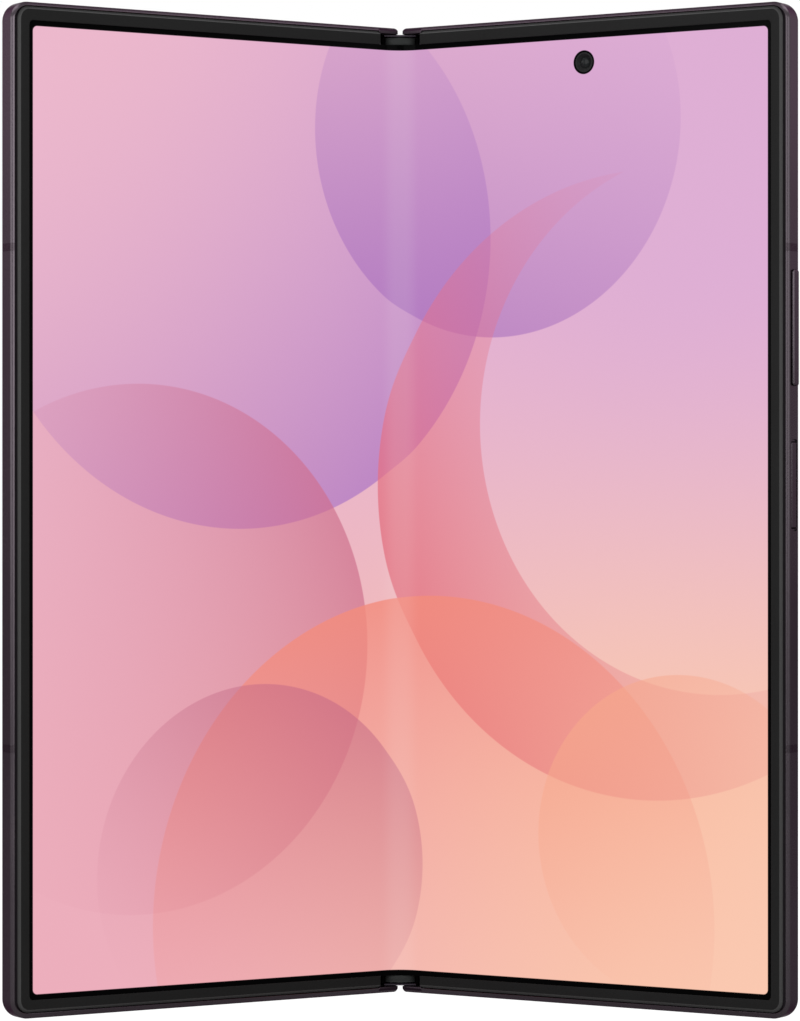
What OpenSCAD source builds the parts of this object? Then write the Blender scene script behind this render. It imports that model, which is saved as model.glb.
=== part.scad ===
// Foldable smartphone, half open and standing on its bottom edge like a book.
//
// Each half is drawn flat: x runs from the middle of the fold to the outer edge, y runs up the phone
// from its mid-height, and z is the height over the bezel face, so the back is at z = -body_t.
// right_half() and left_half() then fold the finished half about its own virtual axis.

/* [Body] */
// Height of the phone
body_h = 158.4; // [150:0.1:165]
// Width of one half, from the middle of the fold to its outer edge
half_w = 71.6; // [66:0.1:76]
// Thickness of one half
body_t = 4.2; // [4.2:0.05:4.6]
// Radius of the frame's outer corners
corner_r = 3.05; // [3.05:0.05:5]
// Fold angle of each half from flat, in degrees
fold_angle = 32.3; // [0:0.1:60]

/* [Frame and bezel] */
// Width of the metal that shows around the bezel
rim_w = 0.68; // [0.6:0.01:0.8]
// Gap between the metal and the bezel
rim_gap = 0.12; // [0.05:0.01:0.15]
// Distance from the outer edge to the bezel's inner edge
bezel_inner = 2.95; // [2.8:0.05:3.0]
// Depth of the screen's surface below the bezel
screen_drop = 0.25; // [0.2:0.01:0.4]
// Wall thickness of the frame below the bezel
wall_t = 1.4; // [1.2:0.05:1.8]
// Thickness of the frame's mid plate
mid_plate_t = 0.4; // [0.3:0.05:0.5]
// Thickness of the rear and cover glass
glass_t = 0.35; // [0.3:0.01:0.4]

/* [Hinge] */
// Distance of each half's fold axis from the middle
axis_x = 1.2; // [1.1:0.01:1.3]
// Depth of the fold axes below the bezel face
axis_drop = 0.97; // [0.9:0.01:1]
// Outer radius of the spine
spine_r = 2.43; // [2.3:0.01:2.5]
// Wall thickness of the spine
spine_wall = 0.38; // [0.3:0.01:0.4]
// Thickness of the frame's end walls beside the spine
end_wall = 1.02; // [0.9:0.01:1.1]
// Heights of the three modules with curved arms
arc_modules = [-60, 0, 60];
// Height of each of the two modules with gears, above and below the middle
gear_module = 46; // [40:0.5:50]
// Teeth on each timing gear
gear_teeth = 10; // [10:2:12]
// Pitch radius of each timing gear
gear_r = 0.6; // [0.58:0.01:0.6]

/* [Screen] */
// Radius of the screen's bend at this fold angle
bend_r = 5; // [4:0.1:6]
// Thickness of the folding screen
screen_t = 0.85; // [0.8:0.01:0.9]
// Distance of the inner camera's axis from the fold
camera_x = 35; // [20:0.1:50]
// Distance of the inner camera's axis below the top edge
camera_inset = 7.55; // [7.2:0.05:9]
// Radius of the hole in the screen
camera_r = 1.91; // [1.5:0.01:2]

/* [Keys and ports] */
// Height of the middle of the volume key
volume_y = 28.4; // [20:0.1:34]
// Length of the volume key
volume_l = 18; // [14:0.1:20]
// Height of the middle of the side key
side_y = 3.9; // [0:0.1:8]
// Length of the side key
side_l = 13.5; // [10:0.1:15]
// Width of both keys
key_w = 1.8; // [1.6:0.05:1.9]
// How far the volume key stands out
key_proud = 0.4; // [0.1:0.01:0.5]
// Width of the charging socket's opening
usb_w = 8.34;
// Height of the charging socket's opening
usb_h = 2.56;
// Distance of the charging socket from the fold
usb_x = 36; // [30:0.5:40]
// Distance of the card tray from the fold
tray_x = 24; // [22:0.5:28]

/* [Hidden] */
$fn = 48;

metal = [0.27, 0.22, 0.27];
dark_plastic = [0.17, 0.17, 0.17];
steel = [0.62, 0.63, 0.65];
board_green = [0.08, 0.22, 0.16];
foil_grey = [0.35, 0.36, 0.38];
dark_glass = [0.05, 0.05, 0.06];

half_h = body_h / 2;
camera_y = half_h - camera_inset;
seam = 0.02;             // clearance between pieces that sit side by side
run = 0.03;              // radial clearance of pieces that turn or slide
screen_back = -screen_drop - screen_t;
plate_back = screen_back - mid_plate_t;
glass_top = -body_t + glass_t;
floor_top = glass_top + 0.4;
bezel_outer = rim_w + rim_gap;
panel_edge = bezel_inner - 0.38;
spine_h = body_h - 2 * end_wall - 0.16;
cavity_r = spine_r + 0.1;
spine_top = -axis_drop - 0.28;
fold_front = 1.0;        // where the end walls stop at the fold, at the front
fold_back = 0.3;         // and at the back
lip_x = 4.65;            // inner edge of the back glass
hinge_zone = 13.6;       // where the mid plate begins
inner_x = hinge_zone + 2.6;      // the parts inside each half lie between here
inner_edge = half_w - 5.6;       // and here
bezel_start = 4.12;
screen_start = 4.2;
wing_x = 13.0;           // axis of the wing plate
wing_z = screen_back - 0.35;
wing_tilt = 4 / 90;      // wing plate's turn for each degree of fold
gear_z = -2.05;          // height of the gear axes
gear_xs = [gear_r, 3 * gear_r];
half_tooth = 180 / gear_teeth;   // turns a gear until its teeth meet its neighbour's gaps
key_z = -2.2;
band_w = 1.2;
band_ys = [40.9, -37.1];
usb_z = -2.47;
cable_y = 25;            // middle of each flex cable
cable_w = 12;
earpiece_x = 44;         // first sound hole of each row
speaker_x = 48;
left_speaker_x = 50;
cover_camera_x = tray_x + 12;
cover_camera_y = half_h - 8.7;
rear_camera_x = half_w - 10.4;
rear_camera_ys = [for (i = [2, 1, 0]) half_h - 12 - 13.2 * i];
flash_x = rear_camera_x - 11.2;
flash_y = half_h - 9.2;

// Depths of the frontmost and rearmost points, which centre the phone on the origin
front_v = -axis_drop + (half_w - axis_x) * sin(fold_angle) + axis_drop * cos(fold_angle);
back_v = -axis_drop + (fold_back - axis_x) * sin(fold_angle)
         - (body_t - axis_drop) * cos(fold_angle);
y_off = (front_v + back_v) / 2;

// ---------- placing ----------

// Stands a piece drawn flat, with the middle of the fold on the spine
module upright() {
    translate([0, y_off, half_h]) rotate([90, 0, 0]) children();
}

module right_half() {
    upright() translate([axis_x, 0, -axis_drop]) rotate([0, -fold_angle, 0])
        translate([-axis_x, 0, axis_drop]) children();
}

module left_half() {
    mirror([1, 0, 0]) right_half() children();
}

module left_spine() {
    mirror([1, 0, 0]) upright() children();
}

module both_ends() {
    children();
    mirror([0, 1, 0]) children();
}

// ---------- building blocks ----------

// Box between two corners
module block(x0, x1, y0, y1, z0, z1) {
    translate([x0, y0, z0]) cube([x1 - x0, y1 - y0, z1 - z0]);
}

// Upright cylinder between two heights
module disc(x, y, r, z0, z1) {
    translate([x, y, z0]) cylinder(r = r, h = z1 - z0);
}

// Cylinder along the phone's height
module rod(x, z, r, y0, y1) {
    translate([x, y1, z]) rotate([90, 0, 0]) cylinder(r = r, h = y1 - y0);
}

// Box with four rounded corners
module rounded_block(x0, x1, y0, y1, z0, z1, r) {
    block(x0 + r, x1 - r, y0, y1, z0, z1);
    block(x0, x1, y0 + r, y1 - r, z0, z1);
    for (x = [x0 + r, x1 - r], y = [y0 + r, y1 - r]) disc(x, y, r, z0, z1);
}

// Plate over one half from x0 to an inset from its outer edges, with two rounded corners
module half_plate(x0, inset, z0, z1) {
    r = max(corner_r - inset, 0.6);
    x1 = half_w - inset;
    y1 = half_h - inset;
    block(x0, x1 - r, -y1, y1, z0, z1);
    block(x0, x1, -y1 + r, y1 - r, z0, z1);
    for (y = [-y1 + r, y1 - r]) disc(x1 - r, y, r, z0, z1);
}

// Sweeps a profile of [depth from the outer surface, height] around one half's three outer sides
module edge_sweep(x0, profile) {
    r = corner_r;
    module section(edge) {
        polygon([for (p = profile) [edge - p[0], p[1]]]);
    }
    translate([0, half_h - r, 0]) rotate([90, 0, 0]) linear_extrude(body_h - 2 * r)
        section(half_w);
    both_ends() {
        translate([x0, 0, 0]) rotate([90, 0, 90]) linear_extrude(half_w - r - x0)
            section(half_h);
        translate([half_w - r, half_h - r, 0]) rotate_extrude(angle = 90) section(r);
    }
}

// Cross section of the spine with its two round sides, for a wall that is inset by some depth
module spine_section(inset, length, top) {
    r = spine_r - inset;
    difference() {
        union() {
            for (x = [-axis_x, axis_x]) rod(x, -axis_drop, r, -length / 2, length / 2);
            block(-axis_x, axis_x, -length / 2, length / 2, -axis_drop - r, -axis_drop);
        }
        block(-9, 9, -length, length, top, 9);
    }
}

// Part of a ring about the right fold axis, between two angles below the outward direction
module arc_rail(r0, r1, from, to, y0, y1) {
    reach = 2 * r1;
    function at(angle) = [reach * cos(angle), -reach * sin(angle)];
    middle = (from + to) / 2;
    translate([axis_x, y1, -axis_drop]) rotate([90, 0, 0]) linear_extrude(y1 - y0)
        intersection() {
            difference() {
                circle(r1);
                circle(r0);
            }
            polygon([[0, 0], at(from), at((from + middle) / 2), at(middle),
                     at((to + middle) / 2), at(to)]);
        }
}

// ---------- spine ----------

module spine_cover() {
    color(metal) upright() difference() {
        spine_section(0, spine_h, spine_top);
        spine_section(spine_wall, spine_h - 2 * spine_wall, 1);
        for (side = [0, 1]) mirror([side, 0, 0]) {
            for (y = arc_modules) block(2, 5, y - 3.1, y + 3.1, -1.8, 0);
            both_ends() {
                block(1, 5, gear_module + 1.25, gear_module + 2.95, gear_z - 0.6, 0);
                block(2, 5, cable_y - cable_w / 2 - 1.2, cable_y + cable_w / 2 + 1.2, -2, 0);
            }
        }
    }
}

// Dark caps that close both ends of the hinge in front of the spine
module hinge_end_caps() {
    cap_top = half_h - 1.58;
    color(dark_plastic) upright() both_ends() {
        block(-2.42, 2.42, cap_top - 1.22, cap_top, -1.2, -0.1);
        block(-1.9, 1.9, cap_top - 1.22, cap_top, -2.6, -1.2);
    }
}

bracket_top = -1.3;

// Blocks that carry the curved rails, with a groove for each rail
module arc_brackets() {
    color(steel) upright() for (y = arc_modules) difference() {
        translate([0, y, 0]) spine_section(spine_wall + seam, 8, bracket_top);
        for (side = [0, 1]) mirror([side, 0, 0]) {
            arc_rail(1.3 - run, 1.7 + run, -30, 127, y - 3.05, y + 3.05);
            block(2.2, 5, y - 3.05, y + 3.05, -1.8, 0);
        }
        for (end = [-3.5, 3.5]) disc(0, y + end, 0.3, -5, 0);
    }
}

// Cheeks that hold the gear pins
module gear_brackets() {
    cheeks = [[-7.3, -6.5], [-2.1, -1.3], [3.0, 3.8]];
    color(steel) upright() both_ends() difference() {
        union() {
            for (c = cheeks) translate([0, gear_module + (c[0] + c[1]) / 2, 0])
                spine_section(spine_wall + seam, c[1] - c[0], bracket_top);
            block(-1, 1, gear_module - 7.3, gear_module + 3.8, -axis_drop - 2.03, -2.85);
        }
        for (x = gear_xs, side = [-1, 1])
            rod(side * x, gear_z, 0.22, gear_module - 8, gear_module + 4);
    }
}

module gear_pins() {
    color(steel) upright() both_ends() for (x = gear_xs, side = [-1, 1])
        rod(side * x, gear_z, 0.22, gear_module - 7.3, gear_module + 3.8);
}

// Stacks of disc springs on the gear pins, which hold the fold at any angle
module disc_spring_stacks() {
    discs = 10;
    pitch = 4.4 / discs;
    function ridge(i) = [i % 2 == 0 ? 0.55 : 0.4, i * pitch / 2];
    outline = [for (i = [0:2 * discs]) ridge(i)];
    color(steel) upright() both_ends() for (x = gear_xs, side = [-1, 1])
        translate([side * x, gear_module - 2.1, gear_z]) rotate([90, 0, 0]) rotate_extrude()
            polygon(concat([[0.24, 0]], outline, [[0.24, 4.4]]));
}

module bracket_screws() {
    color(foil_grey) upright() for (y = arc_modules, end = [-3.5, 3.5]) {
        disc(0, y + end, 0.28, -axis_drop - spine_r + spine_wall, bracket_top);
        disc(0, y + end, 0.42, bracket_top, bracket_top + 0.12);
    }
}

// Where a point of the flat right half lies beside the upright spine, once the half is folded
function folded(x, z) = [
    axis_x + (x - axis_x) * cos(fold_angle) - (z + axis_drop) * sin(fold_angle),
    -axis_drop + (x - axis_x) * sin(fold_angle) + (z + axis_drop) * cos(fold_angle)
];

function mirrored(p) = [-p[0], p[1]];

// The bent strip of the screen over the hinge: an arc that meets both flat panels in a tangent
module screen_fold_zone() {
    face = folded(axis_x, -screen_drop);
    centre = face[1] - face[0] * tan(fold_angle) + bend_r / cos(fold_angle);
    length = body_h - 2 * 2.85;
    steps = 16;
    function bend(r, z) = concat(
        [mirrored(folded(screen_start, z))],
        [for (i = [-steps:steps]) let (a = fold_angle * i / steps) [r * sin(a), centre - r * cos(a)]],
        [folded(screen_start, z)]
    );
    back = bend(bend_r + screen_t, screen_back);
    color(dark_glass) upright() translate([0, length / 2, 0]) rotate([90, 0, 0])
        linear_extrude(length)
            polygon(concat(bend(bend_r, -screen_drop), [for (i = [len(back) - 1:-1:0]) back[i]]));
}

// Two flat cables that cross the hinge under the screen
module hinge_flex_cables() {
    cable_t = 0.12;
    cable_z = -1.75;
    inner = folded(5, cable_z);
    path = [mirrored(inner), [-2.6, cable_z], [-1.2, -2.2], [1.2, -2.2], [2.6, cable_z], inner];
    underside = [for (i = [len(path) - 1:-1:0]) path[i] - [0, cable_t]];
    color([0.55, 0.33, 0.12]) upright() both_ends() translate([0, cable_y, 0])
        rotate([90, 0, 0]) linear_extrude(cable_w, center = true)
            polygon(concat(path, underside));
}

// ---------- frames ----------

// Section of the frame's outer wall, from the bezel's seat round the outside to the glass's ledge
frame_profile = [
    [rim_w, 0], [0.56, 0], [0.32, -0.1], [0.13, -0.33], [0, -0.8],
    [0, -body_t + 0.95], [0.15, -body_t + 0.42], [0.42, -body_t + 0.13], [0.75, -body_t],
    [0.9, -body_t], [0.9, glass_top], [2.2, glass_top], [2.2, floor_top],
    [wall_t, floor_top], [wall_t, plate_back], [1.6, plate_back], [1.6, screen_back],
    [rim_w, screen_back]
];

// Everything that both frames share, before ports are cut
module frame_body() {
    edge_wall_y = half_h - end_wall;
    difference() {
        union() {
            edge_sweep(fold_back, frame_profile);
            half_plate(hinge_zone, 0.5, plate_back, screen_back);
            block(hinge_zone, hinge_zone + 1, 2 - half_h, half_h - 2, glass_top, screen_back);
            block(3.9, hinge_zone + 1, 1.2 - half_h, half_h - 1.2, glass_top, floor_top);
            block(fold_back, lip_x, 1.5 - half_h, half_h - 1.5, -body_t, glass_top + 0.45);
            both_ends() block(fold_back, 4.05, edge_wall_y, half_h - 0.4, -3.9, 0);
            arm_seats();
            wing_ears();
        }
        // room for the turning spine
        rod(axis_x, -axis_drop, cavity_r, -edge_wall_y, edge_wall_y);
        block(-1, axis_x, -edge_wall_y, edge_wall_y, -axis_drop - cavity_r, 1);
        block(axis_x, axis_x + cavity_r, -edge_wall_y, edge_wall_y, -axis_drop, 1);
        // slanted end faces at the fold
        rotate([90, 0, 0]) linear_extrude(2 * body_h, center = true)
            polygon([[-1, 1], [fold_front, 1], [fold_front, 0], [fold_back, -3.5], [-1, -3.5]]);
        for (y = band_ys) band_cut(y);
    }
}

// Bosses under the curved arms, and ribs beside the sliding timing arms
module arm_seats() {
    for (y = arc_modules) difference() {
        block(9, hinge_zone, y - 2.6, y + 2.6, floor_top - 0.01, -2.4);
        for (end = [-1.6, 1.6]) disc(11.2, y + end, 0.4, floor_top + 0.2, 0);
    }
    both_ends() for (side = [1.18, 2.97])
        block(5, hinge_zone, gear_module + side - 0.03, gear_module + side + 0.05,
              floor_top - 0.01, -2.3);
}

wing_knuckles = [-30, 15, 30];

// Ears on the frame that hold the wing plate's pins
module wing_ears() {
    for (y = wing_knuckles, side = [-1, 1]) difference() {
        translate([0, y + side * 3.55, 0])
            block(wing_x - 0.3, hinge_zone + 0.1, -0.5, 0.5, wing_z - 0.35, wing_z + 0.3);
        rod(wing_x, wing_z, 0.12, y - 5, y + 5);
    }
}

module band_cut(y) {
    block(half_w - 0.66, half_w + 1, y - band_w / 2, y + band_w / 2, -body_t - 1, 1);
}

// Plastic breaks that part the metal of the outer wall into aerials
module antenna_bands() {
    for (y = band_ys) intersection() {
        edge_sweep(half_w - 10, frame_profile);
        band_cut(y);
    }
}

module speaker_slots(x, count, pitch, end) {
    for (i = [0:count - 1])
        rod(x + i * pitch, key_z, 0.45, end > 0 ? half_h - 3 : -half_h - 1,
            end > 0 ? half_h + 1 : -half_h + 3);
}

module left_frame() {
    color(metal) left_half() difference() {
        frame_body();
        // card tray's mouth and ejector hole
        rounded_block_up(tray_x - 7.1, tray_x + 7.1, half_h - 3, half_h + 1, -3.4, -1.6);
        speaker_slots(earpiece_x, 6, 1.9, 1);
        speaker_slots(left_speaker_x, 5, 1.9, -1);
        disc(cover_camera_x, cover_camera_y, 2.2, -9, -3);
    }
}

// Slot through the top wall with round ends
module rounded_block_up(x0, x1, y0, y1, z0, z1) {
    r = (z1 - z0) / 2;
    block(x0 + r, x1 - r, y0, y1, z0, z1);
    for (x = [x0 + r, x1 - r]) rod(x, (z0 + z1) / 2, r, y0, y1);
}

module key_slot(y, length) {
    w = key_w / 2 + 0.05;
    block(half_w - 3, half_w + 1, y - length / 2 - 0.05, y + length / 2 + 0.05,
          key_z - w, key_z + w);
}

module right_frame() {
    color(metal) right_half() difference() {
        frame_body();
        key_slot(volume_y, volume_l);
        key_slot(side_y, side_l);
        block(half_w - 0.12, half_w + 1, side_y - side_l / 2 - 0.4, side_y + side_l / 2 + 0.4,
              key_z - key_w / 2 - 0.15, key_z + key_w / 2 + 0.15);
        usb_stadium(0.1, -half_h - 1, -half_h + 8);
        speaker_slots(speaker_x, 6, 1.9, -1);
        rod(24, key_z, 0.35, -half_h - 1, -half_h + 3);
        disc(camera_x, camera_y, 2.3, -3, 0);
    }
}

module left_antenna_bands() {
    color(dark_plastic) left_half() antenna_bands();
}

module right_antenna_bands() {
    color(dark_plastic) right_half() antenna_bands();
}

// Plastic bezel around one half's screen, which laps over the screen's edge
module bezel() {
    edge_sweep(bezel_start, [
        [bezel_outer, screen_back], [bezel_outer, -0.2], [bezel_outer + 0.1, -0.08],
        [bezel_outer + 0.3, 0], [bezel_inner - 0.2, 0], [bezel_inner, -0.07],
        [bezel_inner, -screen_drop + seam], [panel_edge, -screen_drop + seam],
        [panel_edge, screen_back]
    ]);
}

module left_bezel() {
    color(dark_plastic) left_half() bezel();
}

module right_bezel() {
    color(dark_plastic) right_half() bezel();
}

module left_screen_panel() {
    color(dark_glass) left_half()
        half_plate(screen_start, panel_edge + seam, screen_back, -screen_drop);
}

module right_screen_panel() {
    color(dark_glass) right_half() difference() {
        half_plate(screen_start, panel_edge + seam, screen_back, -screen_drop);
        disc(camera_x, camera_y, camera_r + seam, -3, 0);
    }
}

// ---------- hinge arms, gears and wing plates ----------

// Curved rail in the spine's groove, and the arm that carries it to the frame
module hinge_arms() {
    for (y = arc_modules) difference() {
        union() {
            arc_rail(1.3, 1.7, 13, 125, y - 3, y + 3);
            block(axis_x + 1.3, 9.2, y - 3, y + 3, -axis_drop - 0.6, -axis_drop - 0.24);
            block(8.6, 9.2, y - 2.6, y + 2.6, -2.4, -axis_drop - 0.24);
            block(8.6, hinge_zone, y - 2.6, y + 2.6, -2.4, -2.0);
        }
        for (end = [-1.6, 1.6]) disc(11.2, y + end, 0.42, -3, 0);
        // the inner flank of the rail stays round
        rod(axis_x, -axis_drop, 1.3, y - 4, y + 4);
    }
}

module left_hinge_arms() {
    color(steel) left_half() hinge_arms();
}

module right_hinge_arms() {
    color(steel) right_half() hinge_arms();
}

module arm_screws() {
    for (y = arc_modules, end = [-1.6, 1.6]) {
        disc(11.2, y + end, 0.4, floor_top + 0.2, -2.0);
        disc(11.2, y + end, 0.7, -2.0, -1.85);
    }
}

module left_arm_screws() {
    color(foil_grey) left_half() arm_screws();
}

module right_arm_screws() {
    color(foil_grey) right_half() arm_screws();
}

// Outline of a timing gear with involute flanks and a little backlash
module gear_outline(phase) {
    pressure = 20;
    base = gear_r * cos(pressure);
    tip = gear_r * 1.13;
    root = gear_r * 0.78;
    thick = 90 / gear_teeth - 2.2;
    function inv(a) = tan(a) * 180 / PI - a;
    function half_angle(r) = thick + inv(pressure) - inv(acos(min(1, base / r)));
    radii = [root, base, gear_r, tip];
    function at(r, a) = [r * cos(a), r * sin(a)];
    polygon([for (i = [0:gear_teeth - 1]) let (middle = phase + i * 360 / gear_teeth) each [
        for (r = radii) at(r, middle - half_angle(max(r, base))),
        for (j = [3:-1:0]) at(radii[j], middle + half_angle(max(radii[j], base)))
    ]]);
}

module gear(x, phase, y0, y1) {
    translate([x, y1, gear_z]) rotate([90, 0, 0]) linear_extrude(y1 - y0) gear_outline(phase);
}

module gear_bore(x) {
    rod(x, gear_z, 0.22 + run, gear_module - 2, gear_module + 4);
}

// Timing gear on the outer pins, with the flat arm that slides between the frame's ribs
module sync_arms(phase) {
    pivot = gear_xs[1];
    both_ends() difference() {
        union() {
            gear(pivot, phase, gear_module - 1.2, gear_module + 1.2);
            rod(pivot, gear_z, 0.42, gear_module + 1.1, gear_module + 2.9);
            translate([pivot, 0, gear_z]) rotate([0, -fold_angle, 0])
                block(0.3, 7, gear_module + 1.4, gear_module + 2.8, -0.36, -0.04);
        }
        gear_bore(pivot);
    }
}

module left_sync_arms() {
    color(steel) left_spine() sync_arms(0);
}

module right_sync_arms() {
    color(steel) upright() sync_arms(half_tooth);
}

// Small gears between the two timing gears, which turn the halves together
module idler_gears(phase) {
    both_ends() difference() {
        gear(gear_xs[0], phase, gear_module - 1.2, gear_module + 1.2);
        gear_bore(gear_xs[0]);
    }
}

module left_idler_gears() {
    color(steel) left_spine() idler_gears(half_tooth);
}

module right_idler_gears() {
    color(steel) upright() idler_gears(0);
}

// Thin plate behind the screen beside the fold, which tilts back to make room for the closed bend
module wing_plate() {
    top = screen_back - seam - wing_z;
    reach = half_h - 4;
    translate([wing_x, 0, wing_z]) rotate([0, -fold_angle * wing_tilt, 0])
        translate([-wing_x, 0, 0]) difference() {
            union() {
                block(4.3, wing_x, -reach, reach, top - 0.25, top);
                for (y = wing_knuckles) rod(wing_x, 0, 0.3, y - 3, y + 3);
            }
            for (y = arc_modules) block(0, 9.5, y - 3.3, y + 3.3, -2, 2);
            both_ends() {
                block(0, 9.5, gear_module + 1.0, gear_module + 3.2, -2, 2);
            }
            for (y = wing_knuckles) rod(wing_x, 0, 0.12 + run, y - 4, y + 4);
            for (y = wing_knuckles, side = [-1, 1]) translate([0, y + side * 3.55, 0])
                block(wing_x - 0.5, wing_x + 1, -0.55, 0.55, -2, 2);
        }
}

module left_wing_plate() {
    color(steel) left_half() wing_plate();
}

module right_wing_plate() {
    color(steel) right_half() wing_plate();
}

module wing_pins() {
    for (y = wing_knuckles) rod(wing_x, wing_z, 0.12, y - 4, y + 4);
}

module left_wing_pins() {
    color(foil_grey) left_half() wing_pins();
}

module right_wing_pins() {
    color(foil_grey) right_half() wing_pins();
}

// ---------- left half's inside, with the cover screen ----------

left_board_y = half_h - 49.2;    // lower edge of the left board

module left_battery() {
    color(foil_grey) left_half()
        rounded_block(inner_x, inner_edge, 13.2 - half_h, left_board_y - 4, floor_top + 0.15,
                      plate_back, 1.5);
}

module left_board() {
    pitch = (inner_edge - inner_x) / 3;
    color(board_green) left_half() {
        rounded_block(inner_x, inner_edge, left_board_y, left_board_y + 26, -2.5, -2.0, 1);
        for (i = [0:2])
            block(inner_x + i * pitch + 3, inner_x + (i + 1) * pitch - 2.5, left_board_y + 4,
                  left_board_y + 22, -2.0, plate_back);
    }
}

module cover_glass() {
    color(dark_glass) left_half() half_plate(lip_x + 0.05, 0.95, -body_t, glass_top);
}

module cover_screen() {
    color([0.12, 0.12, 0.14]) left_half() difference() {
        half_plate(inner_x - 1, 2.3, glass_top, floor_top + 0.05);
        disc(cover_camera_x, cover_camera_y, 2.3, -9, 0);
    }
}

module cover_camera() {
    color(dark_glass) left_half() {
        disc(cover_camera_x, cover_camera_y, 2.0, glass_top, -3);
        translate([cover_camera_x, cover_camera_y, 0]) block(-3, 3, -3, 3, -3, plate_back);
    }
}

module earpiece_speaker() {
    color(dark_plastic) left_half()
        rounded_block(earpiece_x - 1.5, earpiece_x + 12, half_h - 17.2, half_h - wall_t - 0.2,
                      -3.2, plate_back, 1);
}

tray_top = -2.1;
tray_bottom = -2.9;
tray_depth = 16;

module card_tray() {
    y0 = half_h - tray_depth;
    color(metal) left_half() difference() {
        union() {
            rounded_block_up(tray_x - 7.05, tray_x + 7.05, half_h - 1.2, half_h, -3.35, -1.65);
            block(tray_x - 5.3, tray_x + 5.3, y0, half_h - 1.2, tray_bottom, tray_top);
        }
        block(tray_x - 4.4, tray_x + 4.4, y0 + 1, y0 + 13.4, tray_bottom + 0.12, 0);
        rod(tray_x + 6.2, -2.5, 0.45, half_h - 3, half_h + 1);
    }
}

// Folded sheet around the tray, open at the mouth
module card_tray_cage() {
    side = 5.3 + 0.06;
    color(steel) left_half() difference() {
        block(tray_x - side - 0.2, tray_x + side + 0.2, half_h - tray_depth - 0.2,
              half_h - wall_t - 0.9, tray_bottom - 0.3, plate_back);
        block(tray_x - side, tray_x + side, half_h - tray_depth - 1, half_h, tray_bottom - 0.06,
              tray_top + 0.2);
    }
}

lever_y = half_h - tray_depth - 2.3;

module ejector_rod() {
    color(steel) left_half() rod(tray_x + 6.2, -2.5, 0.35, lever_y + 0.9, half_h - 1.5);
}

module ejector_lever() {
    color(steel) left_half() difference() {
        translate([tray_x, lever_y, 0]) rounded_block(-5, 6.8, -0.6, 0.6, -2.8, -2.3, 0.5);
        disc(tray_x + 1, lever_y, 0.3, -4, 0);
    }
}

// ---------- right half's inside, with the rear cameras ----------

main_board_x = rear_camera_x - 9.2;      // outer edge of the main board
main_board_y = half_h - 53.2;            // and its lower edge
battery_ys = [29.2 - half_h, main_board_y - 4];

module right_battery() {
    color(foil_grey) right_half()
        rounded_block(inner_x, inner_edge, battery_ys[0], battery_ys[1], floor_top + 0.15,
                      plate_back, 1.5);
}

// Places a piece at the start of each half of the main board
module board_halves() {
    for (x = [inner_x, (inner_x + main_board_x) / 2]) translate([x, main_board_y, 0]) children();
}

module main_board() {
    chip_w = (main_board_x - inner_x) / 2 - 6;
    color(board_green) right_half() {
        rounded_block(inner_x, main_board_x, main_board_y, main_board_y + 40, -2.5, -2.0, 1);
        board_halves() block(3, 3 + chip_w, 4, 18, -2.0, plate_back);
    }
}

module board_shields() {
    shield_w = (main_board_x - inner_x) / 2 - 2.4;
    color(steel) right_half() board_halves() difference() {
        rounded_block(1.2, 1.2 + shield_w, 2, 38, -3.3, -2.5, 1);
        rounded_block(1.4, 1 + shield_w, 2.2, 37.8, -3.1, -2.4, 0.8);
    }
}

island_r = 7.4;

module rear_glass() {
    color([0.2, 0.16, 0.2]) right_half() difference() {
        half_plate(lip_x + 0.05, 0.95, -body_t, glass_top);
        for (y = rear_camera_ys) disc(rear_camera_x, y, 4.4, -9, 0);
        disc(flash_x, flash_y, 1.6, -9, 0);
    }
}

module camera_island() {
    color(metal) right_half() difference() {
        union() {
            block(rear_camera_x - island_r, rear_camera_x + island_r, rear_camera_ys[0],
                  rear_camera_ys[2], -body_t - 0.8, -body_t);
            for (y = rear_camera_ys)
                disc(rear_camera_x, y, island_r, -body_t - 0.8, -body_t);
        }
        for (y = rear_camera_ys) disc(rear_camera_x, y, 4.4, -9, 0);
    }
}

module camera_rings() {
    color(dark_plastic) right_half() for (y = rear_camera_ys) difference() {
        disc(rear_camera_x, y, 5.9, -body_t - 2, -body_t - 0.8);
        disc(rear_camera_x, y, 4.4, -9, 0);
    }
}

module camera_modules() {
    color([0.12, 0.12, 0.13]) right_half() for (y = rear_camera_ys) {
        disc(rear_camera_x, y, 4.35, -body_t - 1.6, -3.2);
        block(rear_camera_x - 4.8, rear_camera_x + 4.8, y - 4.8, y + 4.8, -3.2, plate_back);
    }
}

module camera_windows() {
    color(dark_glass) right_half() for (y = rear_camera_ys)
        disc(rear_camera_x, y, 4.38, -body_t - 1.9, -body_t - 1.6);
}

module flash_window() {
    color([0.9, 0.88, 0.8]) right_half() disc(flash_x, flash_y, 1.55, -body_t, -3.4);
}

// Charging coil on the middle of the battery
module charging_coil() {
    x = (inner_x + inner_edge) / 2;
    y = (battery_ys[0] + battery_ys[1]) / 2;
    color([0.6, 0.36, 0.18]) right_half() difference() {
        disc(x, y, 20, glass_top, floor_top + 0.15);
        disc(x, y, 9, -9, 0);
    }
}

module charging_board() {
    color(board_green) right_half()
        rounded_block(inner_x, speaker_x - 2.2, 8.2 - half_h, 25.2 - half_h, -2.4, -1.9, 1);
}

// Solid with the charging socket's outline, grown by some depth
module usb_stadium(grow, y0, y1) {
    r = usb_h / 2 + grow;
    x = usb_w / 2 - usb_h / 2;
    block(usb_x - x, usb_x + x, y0, y1, usb_z - r, usb_z + r);
    for (side = [-x, x]) rod(usb_x + side, usb_z, r, y0, y1);
}

module charging_socket() {
    color(steel) right_half() difference() {
        usb_stadium(0.08, -half_h + 0.2, -half_h + 7.5);
        usb_stadium(0, -half_h, -half_h + 7.2);
    }
}

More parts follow.
